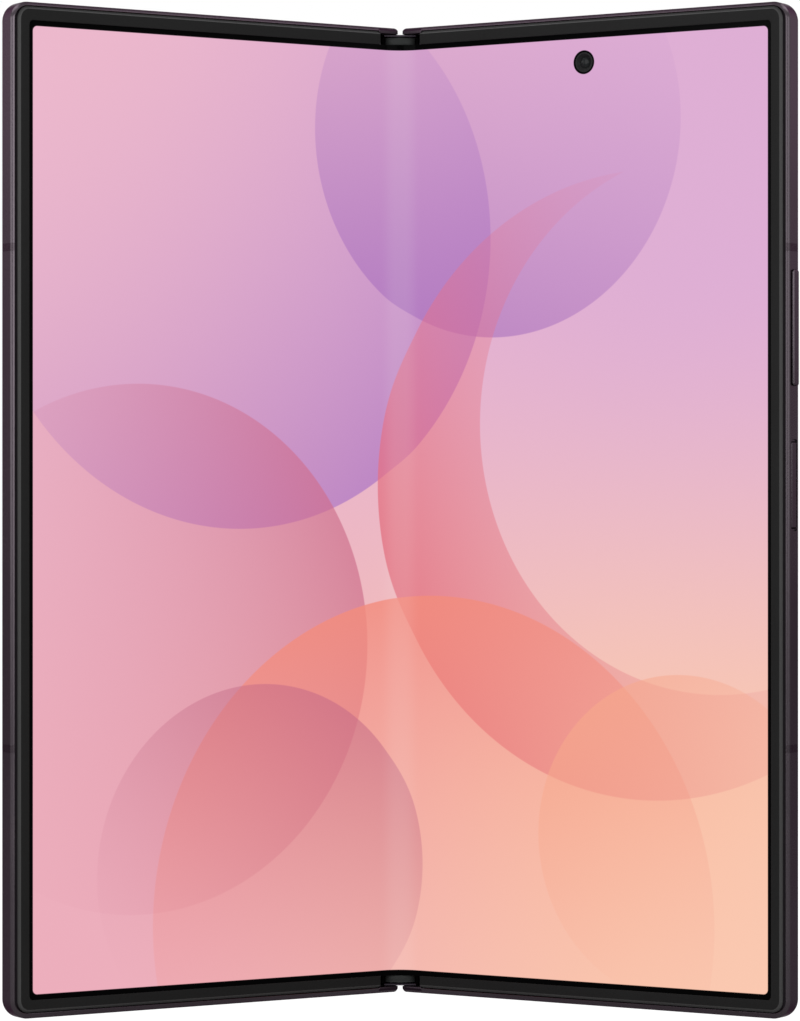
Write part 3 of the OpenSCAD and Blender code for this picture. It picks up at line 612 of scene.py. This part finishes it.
def bezel_profile(where):
    """Closed section of the bezel as (depth, height) points."""
    outer, flat, inner = bezel_outer[where], bezel_flat[where], bezel_inner[where]
    return [(outer, screen_back), (outer, -0.43), (outer + 0.01, -0.40), (outer + 0.03, -0.38),
            (flat - 0.04, -0.025), (flat, -0.004), (flat + 0.04, 0), (inner - 0.10, 0),
            *quarter((inner - 0.07, 0), (inner, -0.07), 4), (inner, -0.23), (2.59, -0.23),
            (2.59, screen_back)]


def bezel(side, name):
    """Carries the bezel's profile round three sides. At both ends its outer, inner and front
    edges are rounded off. Where it lies too deep for the outline's corner radius, its points
    move towards the corner, so that the opening is rounded too. Also tells which of its faces
    are the chamfer."""
    ends = np.concatenate([[0, 0.01], np.linspace(0.04, 0.45, 9), [0.6, 6]])
    u, y, nu, ny, t, flat = rim_path(bezel_start, ends, [])
    d, n = profiles(bezel_profile, ny, flat)
    outer = by_edge(bezel_outer, ny, flat)
    d = np.where(d < bezel_middle, np.maximum(d, (outer + rounding(t, 0.30)) * (flat > 0)),
                 np.minimum(d, bezel_inner["top"] - rounding(t, 0.42) + (1 - flat) * 0.2))
    n = np.minimum(n, -rounding(t, 0.15))
    corner = (t > half_w - corner_r - bezel_start - 0.01) & (np.abs(y) > half_h - corner_r - 0.01)
    more = np.maximum(opening_r - (corner_r - d), 0) * corner
    ring = skin(name, on_half(side, u - nu * d + (nu - 1) * more,
                              y - ny * d + (ny - np.sign(y)) * more, n))
    return ring, np.isin(np.arange(len(ring.data.polygons)) % d.shape[1], (1, 2, 3, 4))


def seal(side, name):
    """The strip of foam in the groove between the metal and the bezel."""
    ends = np.array([0.3, 1, 6])
    u, y, nu, ny, t, flat = rim_path(bezel_start, ends, [])
    inner, outer = by_edge(bezel_outer, ny, flat) - 0.01, by_edge(gap_inner, ny, flat) + 0.01
    share = np.array([0, 0, 0.7, 1, 1])
    n = np.array([-1.09, -0.80, -0.72, -0.46, -1.09])
    d = outer + (inner - outer) * share
    return skin(name, on_half(side, u - nu * d, y - ny * d, n))


bezel_plastic = finish("black_bezel_plastic", (0.009, 0.009, 0.009), (0.011, 0.011, 0.011),
                       (0.30, 0.38), specular=0.03, grain=5000.0, bump=0.10, bump_mm=0.006)
# the chamfer is a little smoother and glossier, and its lighter base colour is a painted highlight
lip_highlight_plastic = finish("highlit_bezel_lip", (0.038, 0.038, 0.038), (0.043, 0.043, 0.043),
                     (0.26, 0.34), specular=0.09, grain=5000.0, bump=0.10, bump_mm=0.006)
seal_foam = finish("black_seal_foam", (0.014, 0.011, 0.014), (0.017, 0.014, 0.017),
                   (0.8, 0.9), specular=0.1, grain=6000.0, bump=0.3, bump_mm=0.01)
for side, half in halves:
    ring, lip = bezel(side, half + "_bezel_ring")
    dress(ring, bezel_plastic, half + "_half", "bezel_plastic", half + "_bezel")
    ring.data.materials.append(lip_highlight_plastic)
    ring.data.polygons.foreach_set("material_index", lip.astype(np.int32))
    dress(seal(side, half + "_bezel_seal"), seal_foam, half + "_half", "bezel_plastic",
          half + "_bezel")

# ---------- folding screen ----------
# One flexible display under a thin glossy film. Each half of it is glued to its half of the
# phone, and the strip between bends freely over the hinge, which leaves a faint crease.

screen_face = -0.25
screen_start = 4.2       # where the glued panels begin
tangent = screen_start - 0.803   # where the bend meets the flat half
screen_edge = 2.61       # depth of the panel's hidden edge under the bezel
bend_end = half_h - 2.85
bend_r = 5.0
bend_middle = 5.0394     # height of the bend's centre over the bezels' face
straight_lag = 0.578     # how much shorter the way over the screen is than u
camera_u, camera_y = 35.0, 71.65
window_r = 1.91          # of the unlit ring round the camera


def screen_uv(piece, side):
    """Writes the screen map: each point's way over the unfolded screen from the middle of the
    fold, and its height. On the bend the way is the radius times the angle, and beyond it the
    distance outwards less the lag."""
    mesh = piece.data
    co = np.empty(len(mesh.vertices) * 3, np.float32)
    mesh.vertices.foreach_get("co", co)
    x, y, z = co.reshape(-1, 3).T * 1000.0
    x, v = side * x, fold_y - y
    u = axis_x + (x - axis_x) * math.cos(fold) + (v + axis_drop) * math.sin(fold)
    angle = np.arctan2(x, bend_middle - v)
    way = np.where(angle < fold, bend_r * angle, u - straight_lag)
    loops = np.empty(len(mesh.loops), np.int32)
    mesh.loops.foreach_get("vertex_index", loops)
    uv = np.stack([side * way / 140 + 0.5, (z - half_h) / 160 + 0.5], -1)[loops]
    layer = mesh.uv_layers.new(name="screen_map")
    layer.data.foreach_set("uv", uv.astype(np.float32).ravel())


def panel(side, name):
    """Flat part of the screen, with rounded outer corners."""
    return slab(name, face_of(side), screen_start, half_w - screen_edge, screen_edge - half_h,
                half_h - screen_edge, [1.1, 0.001, 0.001, 1.1],
                [(0, screen_back), (0, screen_face)], 8, 20)


def bend(side, name):
    """Half of the strip over the hinge: an arc from the middle of the fold to where it meets the
    flat half in a tangent, then straight on to the panel, with the film's thickness below it."""
    a = np.linspace(0, fold, 25)

    def line(height):
        r = bend_r - height + screen_face
        curve = np.stack([r * np.sin(a), bend_middle - r * np.cos(a)], -1)
        us = np.linspace(tangent, screen_start, 6)[1:]
        out, up = us - axis_x, height + axis_drop
        on = np.stack([axis_x + out * math.cos(fold) - up * math.sin(fold),
                       -axis_drop + out * math.sin(fold) + up * math.cos(fold)], -1)
        return np.concatenate([curve, on])

    ring = np.concatenate([line(screen_face), line(screen_back)[::-1]])
    ys = np.array([-bend_end, bend_end])[:, None]
    return skin(name, on_spine(side, ring[:, 0], ys, ring[:, 1]), sharp=40)


def paint(red, green, blue):
    """Linear colour of an 8-bit screen colour, by the usual curve for screens."""
    c = np.array([red, green, blue]) / 255
    return (*np.where(c <= 0.04045, c / 12.92, ((c + 0.055) / 1.055) ** 2.4), 1.0)


def soft_disc_group():
    """A translucent disc of the wallpaper: 1 inside a radius, fading away from its dense side,
    with a round bite taken out of it."""
    group, given = new_group("soft_disc", {
        "Point": "Vector", "Centre": "Vector", "Radius": "Float", "Dense side": "Vector",
        "Fade": "Float", "Bite centre": "Vector", "Bite radius": "Float"}, {"Mask": "Float"})

    def vector(operation, a, b, output=0):
        return add(group, "ShaderNodeVectorMath", {0: a, 1: b},
                   operation=operation).outputs[output]

    def inside(centre, radius):
        away = vector("DISTANCE", given["Point"], centre, "Value")
        return ramp(group, calc(group, "SUBTRACT", radius, away), -0.08, 0.08)

    disc = inside(given["Centre"], given["Radius"])
    bite = inside(given["Bite centre"], given["Bite radius"])
    arm = vector("SUBTRACT", given["Point"], given["Centre"])
    along = vector("DOT_PRODUCT", arm, given["Dense side"], "Value")
    unit = ramp(group, calc(group, "DIVIDE", along, given["Radius"]), -1.0, 1.0)
    shape = calc(group, "MULTIPLY", disc, calc(group, "SUBTRACT", 1.0, bite))
    fade = calc(group, "POWER", unit, given["Fade"])
    add(group, "NodeGroupOutput", {"Mask": calc(group, "MULTIPLY", shape, fade)})
    return group


# centre, radius, direction of the dense side, fade, bite centre, bite radius, colour, strength
discs = [
    ((-30, 44), 47, (0.6, -0.8), 1.6, (0, 0), 0, (176, 120, 196), 0.80),
    ((18, 62), 34, (-0.3, -1.0), 1.4, (0, 0), 0, (170, 112, 190), 0.70),
    ((46, 4), 50, (-0.9, -0.4), 2.0, (58, 14), 43, (226, 112, 128), 0.85),
    ((-48, -22), 42, (0.9, 0.3), 1.8, (0, 0), 0, (206, 110, 140), 0.75),
    ((6, -66), 52, (-0.2, 1.0), 2.2, (0, 0), 0, (242, 140, 124), 0.85),
    ((-26, -58), 30, (0.5, 0.9), 1.5, (0, 0), 0, (196, 104, 134), 0.60),
    ((52, -52), 26, (-0.6, 0.8), 1.6, (0, 0), 0, (246, 168, 140), 0.60),
]


def screen_material():
    """Lit display under glossy film: a soft gradient with large translucent discs, a painted
    highlight that whitens the colour along the crease, and an unlit black border with rounded
    corners and a round camera window."""
    material = bpy.data.materials.new("lit_folding_screen")
    material.use_nodes = True
    tree = material.node_tree
    principled = tree.nodes["Principled BSDF"]
    uv = add(tree, "ShaderNodeUVMap", uv_map="screen_map").outputs[0]
    at = add(tree, "ShaderNodeMapping", {"Vector": uv, "Location": (-70, -80, 0),
                                         "Scale": (140, 160, 1)}).outputs[0]
    split = add(tree, "ShaderNodeSeparateXYZ", {0: at}).outputs

    def slope(axis, low, high):
        return ramp(tree, axis, low, high, kind="SMOOTHSTEP")

    upper = mix(tree, slope(split["X"], -60, 60), paint(236, 184, 204), paint(222, 174, 212))
    lower = mix(tree, slope(split["X"], -60, 50), paint(236, 174, 188), paint(250, 200, 176))
    colour = mix(tree, slope(split["Y"], 40, -50), upper, lower)
    group = soft_disc_group()
    for centre, radius, dense, fade, bite, bite_r, tint, strength in discs:
        disc = add(tree, "ShaderNodeGroup", node_tree=group)
        length = math.hypot(*dense)
        set_inputs(disc, {"Centre": (*centre, 0), "Radius": radius, "Fade": fade,
                          "Dense side": (dense[0] / length, dense[1] / length, 0),
                          "Bite centre": (*bite, 0), "Bite radius": bite_r})
        tree.links.new(at, disc.inputs["Point"])
        share = calc(tree, "MULTIPLY", disc.outputs[0], strength)
        colour = mix(tree, share, colour, paint(*tint))
    away = calc(tree, "ABSOLUTE", split["X"])
    # painted highlight: the colour is whitened towards the middle of the fold, in place of light
    # caught by the crease
    painted_crease_highlight = ramp(tree, away, screen_start, 0.0, 0.0, 0.055, "SMOOTHERSTEP")
    colour = mix(tree, painted_crease_highlight, colour, (1, 1, 1, 1))
    # lit area: distance from a rectangle with round corners, and from the camera's window
    lit_x, lit_y, lit_r, lit_shift, soft = 67.35, 75.44, 0.75, -0.03, 0.04
    across = calc(tree, "ABSOLUTE", calc(tree, "ADD", split["X"], lit_shift))
    high = calc(tree, "ABSOLUTE", split["Y"])
    over = add(tree, "ShaderNodeCombineXYZ", {
        0: calc(tree, "SUBTRACT", across, lit_x - lit_r),
        1: calc(tree, "SUBTRACT", high, lit_y - lit_r)}).outputs[0]
    outside = add(tree, "ShaderNodeVectorMath", {0: over, 1: (0, 0, 0)},
                  operation="MAXIMUM").outputs[0]
    reach = add(tree, "ShaderNodeVectorMath", {0: outside}, operation="LENGTH").outputs["Value"]
    window = add(tree, "ShaderNodeVectorMath", {0: at, 1: (camera_u - straight_lag, camera_y, 0)},
                 operation="DISTANCE").outputs["Value"]
    lit = calc(tree, "MULTIPLY", ramp(tree, reach, lit_r + soft, lit_r - soft),
               ramp(tree, window, window_r - soft, window_r + soft))
    tree.links.new(mix(tree, lit, (0, 0, 0, 1), colour), principled.inputs["Emission Color"])
    set_inputs(principled, {"Emission Strength": 1.0, "Base Color": (0.0008, 0.0008, 0.0009, 1),
                            "Roughness": 0.12, "Specular IOR Level": 0.01})
    return material


screen = screen_material()
for side, half in halves:
    flat = panel(side, half + "_screen")
    if side > 0:
        cut(flat, [disc_piece("cutter", face_of(1), camera_u, camera_y, [(1.64, -2), (1.64, 1)],
                              64)], 20)
    screen_uv(flat, side)
    dress(flat, screen, half + "_half", "screen_film", half + "_screen_panel")
    strip = bend(side, half + "_screen_bend")
    screen_uv(strip, side)
    dress(strip, screen, None, "screen_film", "screen_fold_zone")
    on_spine(side, 0.0, 0.0, 0.04).tolist()
    on_half(side, screen_start, 0.0, screen_face).tolist()
    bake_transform(strip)

# ---------- inner camera ----------
# A small camera behind a round window in the screen of the right half, with a blackened cone in
# front of its lens.

black_plastic = finish("black_plastic", (0.012, 0.012, 0.013), (0.018, 0.018, 0.019),
                       (0.45, 0.6), specular=0.3, grain=3000.0)
# near-black fill whose colour is painted shade in the gaps beside the hinge caps
shade_black_fill = finish("painted_shade_black", (0.0022, 0.0020, 0.0022), (0.003, 0.0028, 0.003),
                    (0.6, 0.75), specular=0.04, grain=3000.0)
camera_black = finish("camera_cone_black", (0.010, 0.010, 0.0105), (0.013, 0.013, 0.0135),
                      (0.4, 0.5), specular=0.06, grain=2500.0)
lens_glass = finish("dark_lens_glass", (0.010, 0.010, 0.014), (0.012, 0.011, 0.016),
                    (0.03, 0.05), specular=0.35, coat=0.3)
inner_glass = finish("coated_lens_glass", (0.008, 0.009, 0.010), (0.011, 0.012, 0.012),
                     (0.10, 0.14), specular=0.07)


def lens_piece(name, place, x, y, radius, front, depth, dome):
    """A turned lens: a blackened rim and cone that lead down to a small glass dome."""
    inner = radius * 0.52
    cone = disc_piece(name + "_cone", place, x, y, [
        (radius, front - depth - 0.5), (radius, front - 0.06), (radius - 0.05, front),
        (radius * 0.86, front), (radius * 0.83, front - 0.05), (inner + 0.1, front - depth),
        (inner + 0.02, front - depth - 0.1), (inner + 0.02, front - depth - 0.5)], loop=True)
    a = np.linspace(0, math.pi / 2, 9)[:-1]
    glass = disc_piece(name + "_lens", place, x, y, [
        (inner + 0.04, front - depth - 0.45), (inner + 0.04, front - depth - 0.02),
        *zip(inner * np.cos(a), front - depth - 0.02 + dome * np.sin(a)),
        (0.02, front - depth - 0.02 + dome)], 32)
    return cone, glass


cone, glass = lens_piece("inner_camera", face_of(1), camera_u, camera_y, 1.62, -0.28, 0.42, 0.25)
dress(cone, camera_black, "right_half", "black_plastic", "inner_camera")
dress(glass, inner_glass, "right_half", "lens_glass", "inner_camera")

# ---------- spine and its end caps ----------
# The hinge hides in a spine, an aluminium gutter with two round sides, anodised like the frames.
# A black cap closes it at both ends in front, with a rounded face.

spine_r, spine_wall = 2.43, 0.38
spine_end = 78.1         # half the gutter's length
spine_metal = anodised("plum_spine_aluminium", (0.052, 0.043, 0.055), (0.060, 0.050, 0.063),
                       (0.20, 0.27), bump=0.1, bump_mm=0.004)


def spine(name):
    """Carries the spine's section up the phone: round sides about both fold axes, a flat back,
    and a hollow, with rounded outer edges at both ends."""
    def section(r, top):
        lift = math.asin((top + axis_drop) / r)
        a = np.linspace(lift, -math.pi / 2, 15)
        right = np.stack([axis_x + r * np.cos(a), -axis_drop + r * np.sin(a)], -1)
        return np.concatenate([right, right[::-1] * (-1, 1)])

    outer, hollow = section(spine_r, -1.25), section(spine_r - spine_wall, -1.27)
    ring = np.concatenate([outer, hollow[::-1]])
    count = len(outer)
    t = np.array([0, 0.02, 0.05, 0.09, 0.14, 0.2])
    fall = rounding(t, 0.2)
    ts = np.concatenate([t, (2 * spine_end - t)[::-1]])
    falls = np.concatenate([fall, fall[::-1]])[:, None]
    x = np.broadcast_to(ring[:, 0], (len(ts), len(ring))).copy()
    n = np.broadcast_to(ring[:, 1], x.shape).copy()
    middle = np.array([0, -axis_drop])
    toward = ring[:count] - middle
    toward = toward / np.linalg.norm(toward, axis=1)[:, None]
    x[:, :count] -= falls * toward[:, 0]
    n[:, :count] -= falls * np.minimum(toward[:, 1], 0)
    return skin(name, on_spine(1, x, (ts - spine_end)[:, None], n))


def end_of(end):
    """Places (x, n, height) at the top end of the spine (1) or at its bottom end (-1)."""
    return lambda x, y, h: on_spine(1, x, end * h, y)


cable_y, cable_w, cable_n = 25.0, 12.0, -2.15    # a flat cable's middle, width and height
gutter_floor = -2.2
notches = [(2.0, y - 3.1, y + 3.1, -1.8) for y in (-60, 0, 60)]      # for the curved arms
for end in (-1, 1):
    reach = cable_w / 2 + 0.15
    notches.append((1.0, *sorted((end * 47.25, end * 48.95)), -2.65))    # for the gears
    notches.append((2.0, end * cable_y - reach, end * cable_y + reach, -2.45))
cutters = [slab("cutter", lambda x, y, h: on_spine(side, x, y, h), x0, 5, y0, y1, [0.2] * 4,
                [(0, low), (0, 0)], 3)
           for side in (1, -1) for x0, y0, y1, low in notches]
dress(cut(spine("spine_gutter"), cutters), spine_metal, "hinge_spine", "spine_metal",
      "spine_cover")
for end, word in ((1, "top"), (-1, "bottom")):
    plate = slab(f"spine_{word}_plate", end_of(end), -3.0, 3.0, -3.1, -0.9, [0.5, 0.5, 1.7, 1.7],
                 [(0.04, 77.84), (0, 77.88), (0, 78.10), (0.02, 78.13), (0.06, 78.15),
                  (0.12, 78.15)], 8)
    dress(plate, spine_metal, "hinge_spine", "spine_metal", "spine_cover")

cap_half = 2.42          # half the end caps' width
cap_plastic = finish("black_cap_plastic", (0.019, 0.0203, 0.020), (0.023, 0.0243, 0.024),
                     (0.34, 0.42), specular=0.05, grain=4000.0, bump=0.08, bump_mm=0.006)


def end_cap(end, name):
    """A cap carried across the spine. Its face falls with the square of the distance from the
    middle, and near the edges with its eighth power too. It has a thin raised lip at its outer
    end, and is rolled over at its edges."""
    across = np.sin(np.linspace(-math.pi / 2, math.pi / 2, 25))
    front = -0.10 - 0.50 * across ** 2 - 0.25 * np.abs(across) ** 8
    rows = np.array([(76.36, -9), (76.36, -0.12), (76.38, -0.06), (76.44, -0.02), (76.52, 0),
                     (77.32, 0), (77.38, -0.03), (77.43, 0.01), (77.50, 0.01), (77.56, -0.05),
                     (77.59, -0.14), (77.59, -9)])
    y, drop = rows[:, 0], rows[:, 1]
    n = np.where(drop < -1, -1.2, front[:, None] + drop)
    return skin(name, on_spine(1, cap_half * across[:, None], end * y, n), sharp=40)


for end, word in ((1, "top"), (-1, "bottom")):
    dress(end_cap(end, f"hinge_{word}_cap"), cap_plastic, "hinge_spine", "cap_plastic",
          "hinge_end_caps")
    # the block behind each cap is near black as painted shade, darkening the gaps between the cap
    # and the bezels
    base = slab(f"hinge_{word}_cap_base", end_of(end), -3.1, 3.1, -3.0, -1.5, [0.3] * 4,
                [(0, 76.3), (0, 77.7)], 4)
    dress(base, shade_black_fill, "hinge_spine", "cap_plastic", "hinge_end_caps")

# ---------- hinge mechanism ----------
# Milled and stamped steel inside the spine: brackets with curved grooves, arms that run in them,
# timing gears on pins with stacks of disc springs, and thin plates behind the screen.

hinge_steel = finish("satin_hinge_steel", (0.50, 0.50, 0.52), (0.58, 0.58, 0.60), (0.25, 0.38),
                     metallic=1.0, grain=2500.0, stretch=(1, 1, 0.08), bump=0.1)
spring_steel = finish("blued_spring_steel", (0.36, 0.37, 0.42), (0.44, 0.44, 0.48),
                      (0.22, 0.32), metallic=1.0, grain=3000.0)
screw_steel = finish("dark_screw_steel", (0.20, 0.20, 0.21), (0.26, 0.26, 0.27), (0.3, 0.4),
                     metallic=1.0, grain=3000.0)
black_film = finish("black_flex_film", (0.014, 0.012, 0.012), (0.020, 0.017, 0.016), (0.35, 0.45),
                    specular=0.3, grain=1200.0, stretch=(1, 1, 4))


cable_bends, cable_ends = 0.9, 5.0    # where a cable begins to bend, and its end in the half


def flex_cable(side, end, name):
    """Half of a flat cable: a cubic curve from the spine's floor up into the half, as a strip."""
    t = np.linspace(0, 1, 17)[:, None]
    ends = on_spine(side, np.array([0.0, cable_bends, 2.4]), end * cable_y, gutter_floor), on_half(
        side, np.array([3.2, cable_ends]), end * cable_y, cable_n)
    start, first, second, third, last = np.concatenate(ends)
    curve = (first * (1 - t) ** 3 + 3 * second * t * (1 - t) ** 2
             + 3 * third * t * t * (1 - t) + last * t ** 3)
    curve = np.concatenate([start[None], curve])
    along = np.gradient(curve, axis=0)
    along /= np.linalg.norm(along, axis=1)[:, None]
    up = np.array([0, 0, cable_w / 2000])
    out = np.cross(along, [0, 0, 1]) * 0.00006    # half its thickness, in metres
    return skin(name, np.stack([curve - up - out, curve + up - out, curve + up + out,
                                curve - up + out], 1))


for side, half in halves:
    for end, word in ((1, "upper"), (-1, "lower")):
        cable = dress(flex_cable(side, end, f"{word}_{half}_flex"), black_film, None,
                      "flex_film", "hinge_flex_cables")
        on_spine(side, cable_bends, 0.0, gutter_floor).tolist()
        on_half(side, cable_ends, 0.0, cable_n).tolist()
        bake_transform(cable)
dress_nodes([
    (hinge_steel, ["arc_brackets", "gear_brackets", "gear_pins"]),
    (spring_steel, ["disc_spring_stacks"]), (screw_steel, ["bracket_screws"])])
for half in ("left", "right"):
    dress_nodes([
        (hinge_steel, [half + "_hinge_arms", half + "_sync_arms", half + "_idler_gears",
                       half + "_wing_plate"]),
        (screw_steel, [half + "_arm_screws", half + "_wing_pins"])])

# ---------- rear glass and cameras ----------
# A frosted plum glass is glued into the back of the right half. A raised aluminium island on it
# carries three cameras, each with a turned black ring and a polished window.

rear_frost = finish("frosted_plum_glass", (0.040, 0.028, 0.040), (0.046, 0.033, 0.046),
                    (0.30, 0.36), grain=12000.0, bump=0.06, bump_mm=0.003)
back = -body_t
camera_x, camera_ys = 61.2, (40.8, 54.0, 67.2)
flash_x, flash_y = 50.0, 70.0


def hole_in(side, x, y, radius, around=64):
    """Cutter for a round hole through the back of a half."""
    return disc_piece("cutter", face_of(side), x, y, [(radius, -6), (radius, 0)], around)


def camera_holes():
    """Cutters for the holes that the three cameras look through."""
    return [hole_in(1, camera_x, y, 4.42) for y in camera_ys]


def back_glass(side, name):
    """A half's back glass: a plate with rounded corners and a rounded outer edge."""
    inset, start = 0.95, 4.72
    return slab(name, face_of(side), start, half_w - inset, inset - half_h, half_h - inset,
                [2.8, 0.3, 0.3, 2.8], [(0, glass_top), (0, back + 0.10), *quarter(
                    (0, back + 0.10), (0.10, back), 4, "n"), (0.14, back)], 10)


rear = cut(back_glass(1, "rear_glass_plate"),
           [*camera_holes(), hole_in(1, flash_x, flash_y, 1.6, 48)])
dress(rear, rear_frost, "right_half", "rear_glass", "rear_glass")

island_r, island_top = 7.4, back - 0.8
island = slab("camera_island_plate", face_of(1), camera_x - island_r, camera_x + island_r,
              camera_ys[0] - island_r, camera_ys[2] + island_r, [island_r] * 4,
              [(0, back), (0, island_top + 0.3), *quarter((0, island_top + 0.3),
                                                         (0.3, island_top), 6, "n"),
               (0.36, island_top)], 24)
dress(cut(island, camera_holes()), plum_metal, "right_half", "frame_metal", "camera_island")

ring_top, window_top = back - 2.0, back - 1.6    # outer faces of a ring, and of its window's seat
ring_metal = finish("black_turned_ring", (0.030, 0.026, 0.031), (0.036, 0.031, 0.037),
                    (0.18, 0.26), metallic=1.0, grain=6000.0)
window_glass = finish("clear_camera_window", (0.9, 0.9, 0.92), (0.92, 0.92, 0.94), (0.0, 0.01),
                      clear=1.0)
a = np.linspace(0, math.pi / 2, 10)[:-1]
# profile, points round, whether it is open in the middle, material, slot and node
camera_pieces = {
    "ring": ([(5.9, island_top + 0.02), *quarter((5.9, ring_top + 0.25), (5.65, ring_top), 5, "n"),
              (5.6, ring_top), (4.75, ring_top),
              *quarter((4.7, ring_top), (4.45, ring_top + 0.2), 4, "d"), (4.43, ring_top + 0.5),
              (4.43, island_top + 0.02)],
             72, True, ring_metal, "black_plastic", "camera_rings"),
    "baffle": ([(4.35, -3.0), (4.35, window_top), (4.15, window_top), (4.1, window_top + 0.25),
                (3.6, window_top + 0.3), (3.5, window_top + 0.6), (2.9, window_top + 0.7),
                (2.75, window_top + 1.1), (2.0, window_top + 1.3), (1.9, window_top + 1.5),
                (1.9, -3.0)],
               64, True, black_plastic, "black_plastic", "camera_modules"),
    "lens": ([(1.9, -3.0), (1.9, window_top + 1.45),
              *zip(1.88 * np.cos(a), window_top + 1.45 - 0.4 * np.sin(a)),
              (0.03, window_top + 1.05)],
             48, False, lens_glass, "lens_glass", "camera_modules"),
    "window": ([(4.36, window_top), (4.36, window_top - 0.25), (4.31, window_top - 0.3),
                (4.25, window_top - 0.3)],
               72, False, window_glass, "lens_glass", "camera_windows")}
for k, y in enumerate(camera_ys):
    for word, (profile, around, loop, *rest) in camera_pieces.items():
        turned = disc_piece(f"camera_{word}_{k + 1}", face_of(1), camera_x, y, profile, around,
                            loop)
        dress(turned, rest[0], "right_half", *rest[1:])

diffuser = finish("milky_flash_diffuser", (0.75, 0.70, 0.52), (0.82, 0.78, 0.62), (0.15, 0.25),
                  grain=900.0)
flash = disc_piece("flash_lens", face_of(1), flash_x, flash_y,
                   [(1.55, -3.4), (1.55, back + 0.06), (1.5, back + 0.01), (1.4, back + 0.01),
                    (1.2, back + 0.05), (0.8, back + 0.10), (0.4, back + 0.12),
                    (0.05, back + 0.125)], 48)
dress(flash, diffuser, "right_half", "diffuser", "flash_window")

# ---------- cover screen ----------
# The left half's outside is a polished black glass over the small cover display, which is off,
# with a camera of its own behind a round window.

cover_x, cover_y = 36.0, 70.5
cover_gloss = finish("polished_cover_glass", (0.006, 0.006, 0.008), (0.007, 0.007, 0.009),
                     (0.03, 0.05), cloud=15.0)
cover = cut(back_glass(-1, "cover_glass_plate"), [hole_in(-1, cover_x, cover_y, 2.0)])
dress(cover, cover_gloss, "left_half", "cover_glass", "cover_glass")


def back_face(x, y, h):
    """Places a lens in the back of the left half, looking out of it."""
    return on_half(-1, x, y, -h)


cone, glass = lens_piece("cover_camera", back_face, cover_x, cover_y, 1.97, 4.16, 0.45, 0.25)
dress(cone, black_plastic, "left_half", "black_plastic", "cover_camera")
dress(glass, lens_glass, "left_half", "lens_glass", "cover_camera")
dark_panel = finish("dark_display_panel", (0.010, 0.010, 0.012), (0.012, 0.012, 0.014),
                    (0.2, 0.3), specular=0.4)
dress_nodes([(dark_panel, ["cover_screen"])])

# ---------- card tray and its ejector ----------
# The tray slides into a folded sheet steel cage through the top wall. A pin through the small
# hole in its face pushes a rod, which turns a lever.

tray_metal = anodised("plum_tray_aluminium", (0.054, 0.044, 0.056), (0.060, 0.049, 0.062),
                      (0.22, 0.30))
dress_nodes([(tray_metal, ["card_tray"]),
             (hinge_steel, ["card_tray_cage", "ejector_rod", "ejector_lever"])])

# ---------- charging socket, sound and boards ----------
# The drawn steel shell of the socket stands behind the bottom wall with a plastic tongue in it.
# Boards, shields, batteries, speakers and motor fill the halves behind the mid plates.

foil = finish("battery_foil", (0.10, 0.10, 0.11), (0.13, 0.13, 0.14), (0.35, 0.5),
              metallic=0.3, grain=700.0, bump=0.2, bump_mm=0.02)
board_green = finish("green_circuit_board", (0.01, 0.05, 0.03), (0.02, 0.09, 0.05),
                     (0.3, 0.45), grain=1500.0)
copper = finish("enamelled_copper", (0.62, 0.28, 0.12), (0.72, 0.36, 0.16), (0.2, 0.3),
                metallic=1.0, grain=1500.0)
dress_nodes([
    (hinge_steel, ["charging_socket", "board_shields", "vibration_motor"]),
    (black_plastic, ["charging_tongue", "loudspeaker", "earpiece_speaker"]),
    (foil, ["left_battery", "right_battery"]),
    (board_green, ["left_board", "main_board", "charging_board"]), (copper, ["charging_coil"])])
